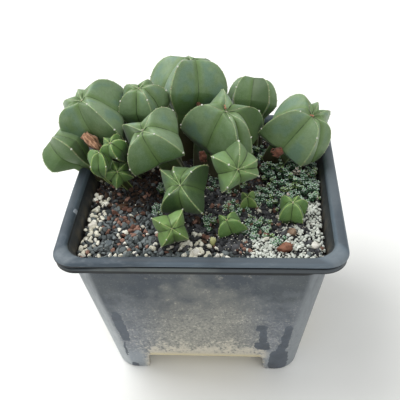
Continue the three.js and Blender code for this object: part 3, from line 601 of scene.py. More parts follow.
def head_spine(head, station):
    """Centre, axis, crest radius and pleat depth of the section at each station. Above the widest
    ring the centre climbs by the cosine of a quarter turn, less a bell-shaped dip, and the radius
    is a power of its sine. Below it the centre follows a quadratic curve down to the root, the
    axis swings upright, and the radius draws in to the stem's."""
    lean, toward = np.radians(head.lean), np.radians(head.toward)
    level = np.sin(lean)
    axis = np.array([level * np.cos(toward), level * np.sin(toward), np.cos(lean)])
    middle = np.array(head.at, dtype=float)
    foot = np.array([*head.root, SOIL_LEVEL - ROOT_DEPTH])
    angle = np.minimum(station, 1) * np.pi / 2
    dip = CROWN_SINK * np.exp(-((angle / CROWN_SINK_WIDTH) ** 2))
    crown = middle + axis * (head.rise * (np.cos(angle) - dip))[:, None]
    down = np.clip(station - 1, 0, 1)[:, None] ** STEM_SLOW
    knee = middle - axis * KNEE_SHARE * np.linalg.norm(foot - middle)
    bend = (1 - down) ** 2 * middle + 2 * down * (1 - down) * knee + down**2 * foot
    centre = np.where(station[:, None] <= 1, crown, bend)
    turned = unit(axis * (1 - down) + np.array([0, 0, 1.0]) * down)
    under = np.clip((station - 1) / UNDERSIDE, 0, 1)
    taper = np.cos(under * np.pi / 2).clip(0)
    stem_radius = head.stem * head.radius
    upper = head.radius * np.sin(angle) ** CROWN_POWER
    reach = np.where(station <= 1, upper, stem_radius + (head.radius - stem_radius) * taper)
    fold = CREASE_DEPTH + (CROWN_CREASE_DEPTH - CREASE_DEPTH) * np.sqrt(1 - np.sin(angle))
    depth = fold + (STEM_CREASE_DEPTH - fold) * down[:, 0] ** 2
    return centre, turned, reach, depth


def rib_skin(head, station, from_crest, rib, side, seed=0):
    """Skin points on a grid of stations and places across the ribs. From_crest runs from 0 on a
    crest to 1 in the pleat beside it. The flank is the straight line between the two, swollen by
    a half sine, with the crest rounded off and corded and the pleat drawn in. Low ripples from a
    few seeded sines run over it. Returns the points and both distances in millimetres."""
    centre, axis, radius, fold = head_spine(head, station)
    bearings = np.array(head.bearings, dtype=float)
    other = (rib + side) % len(bearings)
    gap = (side * (bearings[other] - bearings[rib])) % 360
    half_gap = np.radians(gap) / 2
    depth = np.cos(half_gap) * fold[:, None]
    tip = np.array(head.reaches, dtype=float)[rib]
    drop = tip - depth * np.cos(half_gap)
    swing = depth * np.sin(half_gap)
    length = np.hypot(drop, swing) * radius[:, None]
    rounding = CREST_ROUND / np.maximum(length, 0.3)
    soft = np.sqrt(from_crest**2 + rounding**2) - rounding
    swell = FLANK_BULGE * np.sin(np.pi * from_crest)
    crest = from_crest * length
    pleat = (1 - from_crest) * length
    size = np.minimum(1, radius[:, None] / 6)
    cord = CREST_CORD * size * np.exp(-((crest / CREST_CORD_WIDTH) ** 2))
    pinch = PLEAT_DEPTH * size * np.exp(-((pleat / PLEAT_WIDTH) ** 2))
    x = tip - drop * soft + swing * swell + (cord - pinch) / np.maximum(radius[:, None], 0.5)
    y = swing * from_crest + drop * swell
    angle = np.radians(bearings[rib]) + side * np.arctan2(y, x)
    random = np.random.default_rng(seed)
    ripple = np.zeros_like(angle)
    for _ in range(RIPPLES):
        across, along, phase = random.integers(2, 9), random.uniform(4, 15), random.uniform(0, 6.28)
        ripple += random.uniform(0.3, 1) * np.sin(across * angle + along * station[:, None] + phase)
    reach = radius[:, None] * np.hypot(x, y) + RIPPLE * size * ripple * np.minimum(1, crest / 2)
    first = unit(np.array([1.0, 0, 0]) - axis * axis[:, :1])
    second = np.cross(axis, first)
    out = first[:, None] * np.cos(angle)[..., None] + second[:, None] * np.sin(angle)[..., None]
    points = centre[:, None] + out * reach[..., None] + POT_MIDDLE
    return points, crest, pleat


# Flanks that are darker, partly from lost bloom and partly as painted shade, and flanks that keep
# more of their bloom: for each head, the rib, the side of its crest (1 anticlockwise) and by how
# much, less than nothing where it keeps more.
BARE_OR_SHADED = {
    "head_front_left": ((1, 1, 1.1), (3, -1, 0.5), (2, 1, 0.6)),
    "head_front_middle": (
        (4, -1, 0.4), (4, 1, 0.8), (0, -1, 1.0), (3, -1, -0.5), (1, 1, -0.6), (2, -1, -1.2), (3, 1, 0.9),
    ),
    "head_front_right": ((3, 1, 0.55), (2, 1, 0.85), (2, -1, 0.4), (4, 1, -0.2)),
    "head_left": ((3, 1, 0.35), (4, 1, -0.3), (4, -1, 0.75), (3, -1, 0.1), (0, -1, -0.2)),
    "head_centre": ((3, -1, 0.6), (0, -1, 0.9), (0, 1, 0.4)),
    "head_back_right": ((4, 1, 0.45), (0, 1, 0.7), (5, 1, 0.6), (5, -1, 1.05)),
    "head_right": ((2, 1, 0.2), (3, 1, 0.2), (4, -1, -0.2), (5, 1, 0.3), (5, -1, 0.3), (4, 1, -0.1)),
    "head_middle_left": ((3, 1, -0.2),),
    "head_far_left": ((3, 1, 0.75), (4, -1, 0.8), (4, 1, 0.5)),
    "head_back": ((3, 1, 0.15), (4, -1, 0.1)),
    "pup_left_low": ((0, 1, 0.5), (4, -1, 0.4)),
    "pup_left_high": ((4, 1, 0.5),),
    "pup_left_outer": ((2, 1, 0.4),),
    "pup_front": ((2, 1, 0.35), (3, 1, 0.5), (3, -1, 0.2)),
}


def make_head(name, head, material, seed, rows, across):
    """A whole head: its rib columns stand closest near crests and pleats, and its rows closest near
    the crown and the widest ring. It carries how far each point is from crest and pleat, its
    station, and how bare its flank is, which also sets how much painted shade it takes."""
    count = len(head.bearings)
    half = np.linspace(0, 1, across)
    half = 0.5 - 0.5 * np.cos(np.pi * half) - 0.06 * np.sin(2 * np.pi * half)
    one_rib = np.concatenate([half, half[-2:0:-1]])
    from_crest = np.tile(one_rib, count)
    side = np.tile(np.concatenate([np.ones(across, int), -np.ones(across - 2, int)]), count)
    rib = np.repeat(np.arange(count), len(one_rib))
    rib = np.where(side > 0, rib, (rib + 1) % count)
    crown = 0.03 + 0.97 * np.linspace(0, 1, rows) ** 1.25
    lower = 1 + np.linspace(0, 1, rows * 2 // 3)[1:] ** 1.4
    station = np.concatenate([crown, lower])[::-1]
    points, crest, pleat = rib_skin(head, station, from_crest, rib, side, seed)
    bare = np.zeros(len(rib))
    # Painted shade as well as lost bloom: these flanks are marked to be darker.
    for which, way, share in BARE_OR_SHADED.get(name, ()):
        bare = np.where((rib == which) & (side == way), share, bare)
    ends = head_spine(head, np.array([2.0, 0.0]))[0] + POT_MIDDLE
    skin, faces = closed_skin(points, *ends)
    return make_piece(
        f"{name}_body", skin, faces, material,
        crest=np.append(crest.ravel(), [9, 0]),
        pleat=np.append(pleat.ravel(), [9, 0]),
        station=np.append(np.repeat(station, len(from_crest)), [2, 0]),
        bare=np.append(np.tile(bare, len(station)), [0, 0]),
    )


def cactus_skin(name, bloom, frost, flesh, low, cord, wear):
    """Waxy living skin: a grey bloom on the sunny upper flanks, plain green lower down and where a
    flank is bare, both partly real and partly painted shade, with painted deep shade on the barest
    flanks, a yellow-green glow beside each pleat, a painted shadow line in each pleat, a thin pale
    cord on each crest that has gone corky in places, and cork where the stem enters the grit."""
    material, node, place = new_material(
        name, Roughness=0.5, IOR=1.42, Subsurface_Weight=0.12, Subsurface_Radius=(0.9, 1.6, 0.5),
        Subsurface_Scale=0.002, Sheen_Weight=0.12, Sheen_Roughness=0.45,
    )
    labels = ("crest", "pleat", "station", "bare")
    crest, pleat, station, bare = [node("attribute", attribute_name=label) for label in labels]
    cloud = blotches(node, place, 9, 3.0, 0.6)
    mottle = blotches(node, place, 1.8, 4.0, 0.65)

    # Bloom and its frosty patches over the green flesh, with a fine mottle and grain. Lower down the
    # bloom gives way to the flesh, partly as its real thinning and partly as painted shade.
    # Partly painted shade: low and marked flanks go from bloom to the darker flesh.
    shade = total(node, node("fade", station, 0.65, 1.4), node("fade", cloud, 0.3, 0.7, -0.25, 0.25), bare)
    coat = node("mix", node("times", shade, 1.0), bloom, flesh)
    middle = node("times", node("fade", crest, 1.5, 5.0), node("fade", pleat, 1.5, 5.0))
    frosted = node("times", middle, node("fade", blotches(node, place, 13, 2.0, 0.5), 0.44, 0.58, 0.0, 0.75))
    coat = node("mix", node("times", frosted, node("fade", bare, 0.0, 0.8, 1.0, 0.1)), coat, frost)
    coat = node("mix", node("fade", mottle, 0.35, 0.75, 0.0, 0.32), coat, flesh)
    grain = node("fade", blotches(node, place, 0.5, 2.0, 0.6), 0.45, 0.8, 0.0, 0.12)
    coat = node("mix", grain, coat, "b9c7ae")

    # The glow beside the pleats, painted deep shade, a painted shadow line in the pleats, and cork at
    # the foot.
    glow = node("times", node("fade", pleat, 3.8, 0.5), node("fade", station, 1.5, 0.3, 0.2, 0.68))
    coat = node("mix", glow, coat, "5d793e")
    # Painted deep shade on the barest flanks.
    coat = node("mix", node("fade", bare, 0.5, 1.3, 0.0, 0.75), coat, "2c4220")
    # Painted shadow: a broken dark line down each pleat.
    broken = node("fade", blotches(node, place, 7, 2.0, 0.5), 0.4, 0.58, 0.35, 0.95)
    coat = node("mix", node("times", node("fade", pleat, 0.55, 0.18), broken), coat, "223616")
    coat = node("mix", node("fade", station, 1.35, 1.7, 0.0, 0.92), coat, low)

    # The cord along each crest, corky where it is worn.
    worn = node("times", node("fade", blotches(node, place, 5, 3.0, 0.6), 0.48, 0.62), wear)
    coat = node("mix", node("fade", crest, 0.75, 0.32, 0.0, 0.68), coat, node("mix", worn, cord, "7d6a50"))
    relief = node("bump", mottle, 0.05 * MM)
    relief = node("bump", blotches(node, place, 5, 2.0, 0.5), 0.25 * MM, relief)
    paint(material, coat, relief, node("fade", cloud, 0.3, 0.7, 0.42, 0.56))
    return material


# Grown heads carry the greyest bloom. The one low in front stands in shade and is deep green,
# partly its own colour and partly painted shade, and the one at the front right is yellower. The
# pup in front and the small one at the right are the brightest green, and the other pups, in the
# shade of the heads, are painted a little darker as shade.
grown_skin = cactus_skin("grown_cactus_skin", "768d69", "628070", "4f6b3b", "453f2a", "a5b989", 0.6)
shaded_skin = cactus_skin("shaded_cactus_skin", "567344", "48664c", "324c26", "3a3524", "9fb87c", 0.2)
pale_skin = cactus_skin("pale_cactus_skin", "72905c", "65845f", "51703a", "3a3524", "9fb67d", 0.3)
young_skin = cactus_skin("young_cactus_skin", "73924f", "6a8c54", "4b702d", "3a3a24", "a6bb72", 0.2)
low_young_skin = cactus_skin("low_young_cactus_skin", "628649", "5a7e52", "416230", "34361f", "9fb868", 0.2)
SKINS = {
    "head_front_middle": shaded_skin,
    "head_front_right": pale_skin,
    "pup_front": young_skin,
    "pup_right_small": young_skin,
}
for number, (name, head) in enumerate(HEADS.items()):
    piece = make_head(name, head, SKINS.get(name, grown_skin), 50 + number, 54, 14)
    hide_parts(name)
for number, (name, head) in enumerate(PUPS.items()):
    piece = make_head(name, head, SKINS.get(name, low_young_skin), 80 + number, 34, 10)
    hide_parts(name)


# Areoles: small pads of matted wool that sit on the crests. Most are worn to dull specks, a
# few still hold white wool, and a tan tuft fills each crown.
def pebble(sides, rows):
    """A closed unit ball of a few level rings, as a shape to copy: rows of circles by latitude."""
    latitude = np.radians(np.linspace(-90, 90, rows + 2)[1:-1])
    turn = np.radians(np.linspace(0, 360, sides, endpoint=False))
    x = np.cos(latitude)[:, None] * np.cos(turn)
    y = np.cos(latitude)[:, None] * np.sin(turn)
    z = np.sin(latitude)[:, None] + 0 * turn
    return closed_skin(np.stack([x, y, z], axis=-1), [0, 0, -1], [0, 0, 1])


def random_turns(random, count):
    """Turning matrices spread evenly over all turns, from unit quaternions."""
    w, x, y, z = random.normal(size=(4, count))
    norm = np.sqrt(w * w + x * x + y * y + z * z)
    w, x, y, z = w / norm, x / norm, y / norm, z / norm
    rows = [
        [1 - 2 * (y * y + z * z), 2 * (x * y - z * w), 2 * (x * z + y * w)],
        [2 * (x * y + z * w), 1 - 2 * (x * x + z * z), 2 * (y * z - x * w)],
        [2 * (x * z - y * w), 2 * (y * z + x * w), 1 - 2 * (x * x + y * y)],
    ]
    return np.moveaxis(np.array(rows), -1, 0)


def copies(shapes, places, turns, sizes):
    """Copies of closed shapes that have the same faces: shape k's points times copy k's three
    sizes, turned by its matrix and moved to its place."""
    points, faces = shapes
    points = np.broadcast_to(points, (len(places), *points.shape[-2:]))
    moved = np.einsum("nij,nkj->nki", turns, points * sizes[:, None, :]) + places[:, None, :]
    shift = points.shape[1] * np.arange(len(places))[:, None, None]
    copied = [(block[None] + shift).reshape(-1, block.shape[1]) for block in faces]
    return moved.reshape(-1, 3), copied


def wool():
    """Matted plant wool: white when fresh, dull tan when worn, and brown in the oldest tufts, with a
    fine tangle."""
    material, node, place = new_material("areole_wool", Roughness=0.95, Sheen_Weight=0.4)
    age = node("attribute", attribute_name="age")
    tangle = blotches(node, place, 0.25, 3.0, 0.6)
    colour = node("mix", node("fade", age, 0.0, 1.0), "e2e3da", "a7a06f")
    colour = node("mix", node("fade", age, 1.2, 1.8), colour, "b9795a")
    colour = node("mix", node("fade", tangle, 0.4, 0.7, 0.0, 0.3), colour, "8f8462")
    paint(material, colour, node("bump", tangle, 0.15 * MM))
    return material


# Brown tufts by the crowns of two heads: place from the pot's middle and radius.
CROWN_TUFTS = (
    (12.2, 12.6, 137.6, 0.75),
    (11.9, 13.4, 138.6, 0.6),
    (60.0, 22.3, 127.3, 0.65),
    (61.2, 22.0, 127.2, 0.7),
    (58.8, 22.6, 127.4, 0.5),
)
GROWN_RADIUS = 12
CROWN_PADS = 3


def areole_places():
    """Every areole's place, radius and age: white ones at the stations listed for each head, and
    worn ones spaced evenly along each crest between them."""
    random = np.random.default_rng(5)
    found = []
    for head in [*HEADS.values(), *PUPS.values()]:
        grown = head.radius > GROWN_RADIUS
        white_size, worn_size, gap = (0.54, 0.3, 0.15) if grown else (0.4, 0.24, 0.3)
        spots = [(rib, station, white_size, 0.0) for rib, station in head.white]
        for rib in range(len(head.bearings)):
            for station in np.arange(0.12 + 0.05 * random.random(), 1.35, gap):
                if all(r != rib or abs(s - station) > 0.09 for r, s in head.white):
                    spots.append((rib, station, worn_size, random.uniform(0.5, 1)))
        for rib, station, size, age in spots:
            one = np.array([0])
            point, _, _ = rib_skin(head, np.array([station]), 0.0 * one, one + rib, one + 1)
            found.append((*point[0, 0], size, age))
        crown, _, _, _ = head_spine(head, np.array([0.0]))
        for _ in range(CROWN_PADS):
            place = crown[0] + random.normal(size=3) * 0.25 + np.array([POT_X, 0, 0.1])
            found.append((*place, 0.32, random.uniform(0.4, 0.9)))
    for x, y, z, size in CROWN_TUFTS:
        found.append((x + POT_X, y, z, size, 2.0))
    return np.array(found)


spots = areole_places()
random = np.random.default_rng(8)
tuft = pebble(6, 3)
tufts = tuft[0][None] * (1 + 0.18 * random.normal(size=(len(spots), len(tuft[0]), 1)))
sizes = spots[:, 3:4] * random.uniform(0.85, 1.15, size=(len(spots), 3))
points, faces = copies((tufts, tuft[1]), spots[:, :3], random_turns(random, len(spots)), sizes)
areoles = make_piece("areole_wool_pads", points, faces, wool(), age=np.repeat(spots[:, 4], len(tuft[0])))


# Grit: crushed lava, baked clay and white pumice of up to about 6 mm, poured over darker soil
# and left where watering moved it. White pumice has gathered along the left wall and in the
# front right corner, red clay near the left front, and bark mould under the heads.
LOW_SPACING = 2.9
GRIT_SPACING = 2.75
FINE_SPACING = 2.05
SPECK_SPACING = 1.5
BED_DROP = 2.2
BED_ROOM = 0.3
SOIL_MOUND = 2.2
ROW_SHARE = 0.87
JITTER = 0.24
ROOM_CORNER = 12


def soil_height(x, y):
    """Height of the fill from the pot's middle: level, with a low bell-shaped mound."""
    return SOIL_LEVEL + SOIL_MOUND * np.exp(-((x - 20) ** 2 + (y - 5) ** 2) / (2 * 38**2))


def near(x, y, centre, width):
    """1 at a place and fading round it as a bell of that width."""
    return np.exp(-((x - centre[0]) ** 2 + (y - centre[1]) ** 2) / (2 * width**2))


def rock_shapes(count, seed, sides=7, rows=4, cuts=5):
    """Crushed stones: unit balls with seeded lumps, whose points beyond each of a few random planes
    are pressed back onto it, which leaves flat broken faces."""
    random = np.random.default_rng(seed)
    ball, faces = pebble(sides, rows)
    shapes = ball[None] * (1 + 0.07 * random.normal(size=(count, len(ball), 1)))
    for _ in range(cuts):
        normal = unit(random.normal(size=(count, 1, 3)))
        beyond = (shapes * normal).sum(axis=-1, keepdims=True) - random.uniform(0.42, 0.8, size=(count, 1, 1))
        shapes = shapes - normal * np.maximum(beyond, 0)
    return shapes, faces


def stone_material(name, light, dark, stain, rough, pore):
    """Broken mineral: each stone has its own tone, from the attribute, under a fine mottle, with
    pores of a size in millimetres, a stain of dust in the hollows, and painted shade, nearly
    black, where it is sunk in the fill."""
    material, node, place = new_material(name, Roughness=rough, IOR=1.5, Specular_IOR_Level=0.35)
    colour = node("mix", node("attribute", attribute_name="tone"), dark, light)
    fleck = blotches(node, place, pore, 4.0, 0.7)
    colour = node("mix", node("fade", fleck, 0.52, 0.7, 0.0, 0.55), colour, stain)
    sunk = node("attribute", attribute_name="sunk")
    # Painted shade: the lower part of each stone darkens to nearly black.
    colour = node("mix", node("fade", sunk, 0.48, 0.78, 0.0, 0.88), colour, "1d1b19")
    relief = node("bump", fleck, 0.25 * MM)
    relief = node("bump", blotches(node, place, pore * 0.3, 2.0, 0.6), 0.08 * MM, relief)
    paint(material, colour, relief)
    return material


def grit_sites(spacing, seed):
    """Places over the fill on a jittered lattice whose rows are set over by half a step, inside the
    pot's rounded square, and a number from 0 to 1 that picks what lies at each."""
    random = np.random.default_rng(seed)
    room = body_half(SOIL_LEVEL) - WALL - 0.45 * spacing - BED_ROOM
    across = np.arange(int(2 * room / spacing) + 1)
    i, j = np.meshgrid(across, np.arange(int(2 * room / spacing / ROW_SHARE) + 1))
    x = (i + 0.5 * (j % 2)) * spacing - room + random.uniform(-JITTER, JITTER, i.shape) * spacing
    y = ROW_SHARE * j * spacing - room + random.uniform(-JITTER, JITTER, i.shape) * spacing
    x, y = x.ravel(), y.ravel()
    past_x, past_y = [np.maximum(abs(way) - room + ROOM_CORNER, 0) for way in (x, y)]
    inside = (np.maximum(abs(x), abs(y)) < room) & (np.hypot(past_x, past_y) < ROOM_CORNER)
    return x[inside], y[inside], random.random(inside.sum())


def strewn(name, x, y, size_range, lift, seed, material, flat=0.8, fine=False):
    """A stone of its own size, turn and tone at each place. Fine grit takes simpler stones."""
    random = np.random.default_rng(seed)
    radius = random.uniform(*size_range, size=len(x)) / 2
    z = soil_height(x, y) + lift + random.uniform(-0.5, 0.5, len(x))
    places = np.stack([x + POT_X, y, z], axis=-1)
    sides, rows = (5, 3) if fine else (7, 4)
    shapes, faces = rock_shapes(len(x), seed + 1, sides, rows, 6)
    sizes = radius[:, None] * random.uniform(0.72, 1.38, size=(len(x), 3)) * np.array([1, 1, flat])
    points, faces = copies((shapes, faces), places, random_turns(random, len(x)), sizes)
    tone = np.repeat(random.random(len(x)), shapes.shape[1])
    above = points[:, 2] - np.repeat(z, shapes.shape[1])
    # How far down its stone each point lies, for the painted shade on its lower part.
    sunk = 0.5 - 0.5 * above / np.repeat(radius, shapes.shape[1])
    piece = make_piece(name, points, faces, material, tone=tone, sunk=sunk)
    piece.data.set_sharp_from_angle(angle=np.radians(28))


def white_share(x, y):
    """Share of white pumice: a strip along the left wall, a drift at the front, and a few about."""
    left = 0.52 * step(x, -54, -57) * step(y, 1, -5)
    front = 0.66 * near(x, y, (-7, -46), 5) + 0.6 * near(x, y, (1, -54), 5) + 0.22 * step(y, -54, -57)
    about = 0.07 * step(y, -10, -22) * step(x, -8, -20)
    return np.clip(np.maximum(left, front) + about + 0.02, 0, 0.9)


def clay_share(x, y):
    """Share of red and brown baked clay: most near the left front."""
    most = 0.64 * near(x, y, (-42, -25), 5.8) + 0.3 * near(x, y, (-31, -38), 5)
    return np.clip(most + 0.6 * near(x, y, (22, -52), 2.5) + 0.12 * near(x, y, (-33, -48), 5) + 0.06, 0, 0.65)


def mould_share(x, y):
    """Share of dark bark mould: all under the heads, and behind the left front."""
    left = step(y, -21, -13) * step(x, -20, -26)
    return np.clip(0.9 * left + 0.75 * step(y, -8, 2) + 0.35 * near(x, y, (0, -32), 10), 0, 0.9)


def gathered(x, y):
    """How much there is of the fine white pumice that rain has washed into the front right corner,
    with three bare patches in it."""
    corner = np.maximum(step(x, 53, 57) * step(y, -8, -14), step(y, -40, -45) * step(x, 22, 28))
    corner = np.maximum(corner, 0.8 * step(x, 40, 44) * step(y, -30, -34))
    bare = near(x, y, (59, -53), 2.4)
    bare = bare + 0.8 * near(x, y, (56, -45.6), 1.8)
    bare = bare + 0.7 * near(x, y, (56, -35), 1.5)
    return corner * np.clip(1 - bare, 0, 1)


# Pumice is chalky white, and a little greyer where rain has washed it together. Lava is dull
# grey, the dark lava nearly black, baked clay a dusty red-brown, and bark mould dark brown.
pumice = stone_material("broken_white_pumice", "f7f5ea", "dad6c4", "b0a88e", 0.9, 1.0)
washed = stone_material("washed_white_pumice", "edf0e8", "c9cfc6", "a9ab9c", 0.9, 1.0)
lava = stone_material("crushed_grey_lava", "81898a", "3b4143", "4c4d49", 0.8, 0.8)
basalt = stone_material("dark_lava_grit", "5e5f62", "2c2e31", "40393a", 0.85, 0.8)
clay = stone_material("crushed_baked_clay", "a88273", "65463a", "4a3a30", 0.85, 0.9)
mould = stone_material("bark_mould", "594539", "1f1916", "6b5848", 0.95, 0.7)

x, y, pick = grit_sites(LOW_SPACING, 211)
strewn("grit_lava_low", x, y, (3.0, 4.6), -1.5, 212, basalt)
x, y, pick = grit_sites(GRIT_SPACING, 223)
white, red, brown = white_share(x, y), clay_share(x, y), mould_share(x, y)
cleared = pick < gathered(x, y)
pick = (pick - gathered(x, y)) / np.maximum(1 - gathered(x, y), 0.01)
bright = step(x, -22, -30) + step(y, -52, -56)
PUMICE, MOULD, LAVA, CLAY, DARK, CLEARED = range(6)
kinds = np.where(pick < white, PUMICE, np.where(pick < white + brown * (1 - white), MOULD, LAVA))
kinds = np.where((kinds == LAVA) & (pick > 1 - red), CLAY, kinds)
kinds = np.where((kinds == LAVA) & (bright < 0.5), DARK, kinds)
kinds = np.where(cleared, CLEARED, kinds)
for kind, name, size_range, lift, seed, mineral, slot, flat in (
    (PUMICE, "grit_pumice", (2.4, 3.6), 0.7, 229, pumice, "white_pumice", 0.8),
    (MOULD, "grit_mould", (1.8, 3.6), 0.1, 233, mould, "gravel_mix", 0.45),
    (LAVA, "grit_lava_top", (2.5, 4.2), 0.3, 239, lava, "gravel_mix", 0.8),
    (CLAY, "grit_clay", (2.2, 3.8), 0.4, 227, clay, "gravel_mix", 0.8),
    (DARK, "grit_lava_dark", (2.4, 4.2), 0.1, 241, basalt, "gravel_mix", 0.8),
):
    here = kinds == kind
    strewn(name, x[here], y[here], size_range, lift, seed, mineral, flat)
x, y, pick = grit_sites(FINE_SPACING, 251)
drift = gathered(x, y)
whites = pick < 0.92 * drift
darks = (~whites) & (pick < np.maximum(0.95 * drift, 0.3))
strewn("grit_pumice_fine", x[whites], y[whites], (1.7, 3.0), 0.6, 257, washed, 0.8, True)
strewn("grit_lava_fine", x[darks], y[darks], (0.9, 1.9), 0.3, 263, basalt, 0.8, True)
x, y, pick = grit_sites(SPECK_SPACING, 271)
specks = pick < 0.17 * step(x, 0, 12) * step(y, 10, -4) + 0.07 * step(x, -20, -10) + 0.03
strewn("grit_pumice_specks", x[specks], y[specks], (0.5, 1.0), 1.0, 277, pumice, 0.8, True)


def soil_bed():
    """The fill under the loose grit: a block that follows the pot's inside with a little room, with
    a finely heaped top."""
    rings = []
    for level in np.linspace(FLOOR_TOP, SOIL_LEVEL - 2.5, 6):
        x, y = square_ring(body_half(level) - WALL - BED_ROOM, body_radius(level) - WALL - BED_ROOM)
        rings.append(np.stack([x, y, level + 0 * x], axis=-1))
    wobble = np.random.default_rng(3)
    for share in np.linspace(1, 0.03, 26):
        x, y = square_ring(body_half(SOIL_LEVEL) - WALL - 0.4, body_radius(SOIL_LEVEL) - WALL, share)
        height = soil_height(x, y) - BED_DROP + 0.5 * wobble.normal(size=len(x)).clip(-1, 1)
        rings.append(np.stack([x, y, height], axis=-1))
    middle = [0, 0, soil_height(0, 0) - BED_DROP]
    points, faces = closed_skin(np.array(rings), [0, 0, FLOOR_TOP], middle)
    return points + POT_MIDDLE, faces


bed_points, bed_faces = soil_bed()
# Damp potting soil: dark brown, and seen only in the gaps between stones.
soil = stone_material("potting_grit_soil", "3f3530", "1d1a18", "57493c", 0.95, 0.8)
bed = make_piece("soil_bed", bed_points, bed_faces, soil, tone=np.full(len(bed_points), 0.4),
                 sunk=np.zeros(len(bed_points)))
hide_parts("gravel_fill")


# Larger stones: broken lumps of red, brown and grey lava and of white and yellow pumice. They
# are loose and lie half bedded in the grit.

# Each stone: its place from the pot's middle, half sizes, turn, and its light, dark and dust.
STONES = {
    "stone_red_lava": ((43.2, -51.8), (5.2, 4.2, 3.8), 20, ("936955", "6f3d2e", "38261f")),
    "stone_brown_lava": ((48, -37), (4.6, 3, 2.6), 75, ("a38c78", "705b4a", "40352c")),
    "stone_yellow_pumice": ((6.8, -46), (1.8, 2.6, 3.2), 10, ("d2d3a0", "a3a56a", "7c7a4c")),
    "stone_pumice_front": ((-2, -55), (3.4, 2.7, 2.4), 40, ("efece4", "cfcbbf", "a89f86")),
    "stone_pumice_middle": ((9, -58), (3.2, 2.4, 2.2), 110, ("efece4", "cfcbbf", "a89f86")),
    "stone_pumice_corner": ((60, -47), (3.2, 2.6, 2.4), 65, ("f1efe8", "d3cfc4", "a89f86")),
    "stone_pumice_left": ((-60, -32), (3, 2.4, 2.3), 15, ("eeeadf", "c8c3b2", "a89f86")),
    "stone_lava_left": ((-49, -47), (3.6, 2.8, 2.5), 130, ("6d777c", "444b50", "3a3a38")),
}


def bedded(shapes, faces, at, size, turn, lift):
    """One stone of that shape and size, turned about the upright, whose centre stands over the fill
    by a share of its height. Returns its points and faces, and how deep each point is sunk, from
    0 at its top to 1 at its foot."""
    c, s = np.cos(np.radians(turn)), np.sin(np.radians(turn))
    place = np.array([[at[0] + POT_X, at[1], soil_height(*at) + lift * size[2]]])
    upright = np.array([[[c, -s, 0], [s, c, 0], [0, 0, 1.0]]])
    points, faces = copies((shapes, faces), place, upright, np.array([size]))
    return points, faces, 0.5 - 0.5 * (points[:, 2] - place[0, 2]) / size[2]


for number, (name, (at, size, turn, tones)) in enumerate(STONES.items()):
    shapes, faces = rock_shapes(1, 400 + number, 22, 13, 9)
    rough = np.random.default_rng(number).normal(size=(1, shapes.shape[1], 1))
    points, faces, sunk = bedded(shapes * (1 + 0.04 * rough), faces, at, size, turn, 0.3)
    mineral = stone_material(f"{name}_finish", *tones, 0.9, 1.5)
    # Painted light and shade: each lump takes its light tone at the top and its dark tone from its middle
    # down.
    stone = make_piece(f"{name}_lump", points, faces, mineral, tone=np.clip(1 - 2 * sunk, 0, 1), sunk=sunk)
    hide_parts(name)


# Bark: flat splinters of pine bark, dark, dull and narrower at their ends. They are litter of
# the potting mix and lie loose on the grit.
BARK = {
    "bark_piece_left": ((-47, -14), (5.5, 2.3, 1.5), 25),
    "bark_piece_middle": ((-38, -28), (5, 2, 1.4), 118),
}
bark_finish = stone_material("pine_bark", "6b4f3c", "33261e", "84705c", 0.95, 0.9)
for number, (name, (at, size, turn)) in enumerate(BARK.items()):
    shapes, faces = rock_shapes(1, 440 + number, 18, 9, 6)
    narrow = 1 - 0.45 * shapes[..., :1] ** 2
    shapes = shapes * np.concatenate([1 + 0 * narrow, narrow, 0.8 * narrow], axis=-1)
    points, faces, sunk = bedded(shapes, faces, at, size, turn, 0.4)
    tone = np.full(len(points), 0.5)
    splinter = make_piece(f"{name}_splinter", points, faces, bark_finish, tone=tone, sunk=sunk)
    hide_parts(name)


# Creeping plant: a tiny stonecrop with thread-like stems and plump blue-green leaves one to
# two millimetres long, in crowded whorls, each leaf tip frosted.

# Each mat or tuft is a few cushions: middle, half sizes, height and number of sprigs.
CREEPERS = {
    "creeper_mat_right": (
        ((46, 16), (13, 18), 9.5, 88),
        ((29, 38), (8, 8), 7, 26),
        ((64, 16), (4.5, 13), 6, 26),
        ((38, -7), (12, 11), 4.5, 56),
        ((57, -2), (9, 11), 6, 44),
        ((12, 9), (11, 14), 2.2, 40),
        ((30, -34), (8, 9), 3, 40),
        ((41, -45), (4.5, 3.5), 2.2, 10),
        ((18, -18), (7, 7), 2.4, 20),
        ((65, 0), (3.5, 8), 5, 14),
    ),
    "creeper_tuft_middle": (((3.5, -30), (4, 6), 3.5, 16),),
    "creeper_tuft_left": (((-25.5, -19), (3, 4), 4, 12), ((-25.5, 2), (2.8, 5), 4, 12)),
}
GOLDEN_TURN = 2.39996
# Places in the mat whose sprigs have blushed pink or turned yellow, how wide, and their tone.
TINTED = (
    ((51, 14), 3.6, 0.97),
    ((67, 10), 3, 0.76),
    ((39, -11), 2.6, 0.76),
    ((33, 33), 2.6, 0.74),
    ((48, -6), 1.8, 0.95),
)


def leaf_shape():
    """A plump leaf along +X from its foot: flattened rings that swell past its middle to a blunt
    tip."""
    along = np.array([0.08, 0.55, 0.88])
    reach = np.array([0.14, 0.36, 0.24])
    turn = np.radians(np.linspace(0, 360, 5, endpoint=False))
    y = reach[:, None] * np.cos(turn)
    z = 0.7 * reach[:, None] * np.sin(turn)
    x = along[:, None] + 0 * turn
    return closed_skin(np.stack([x, y, z], axis=-1), [0, 0, 0], [1.02, 0, 0.02])


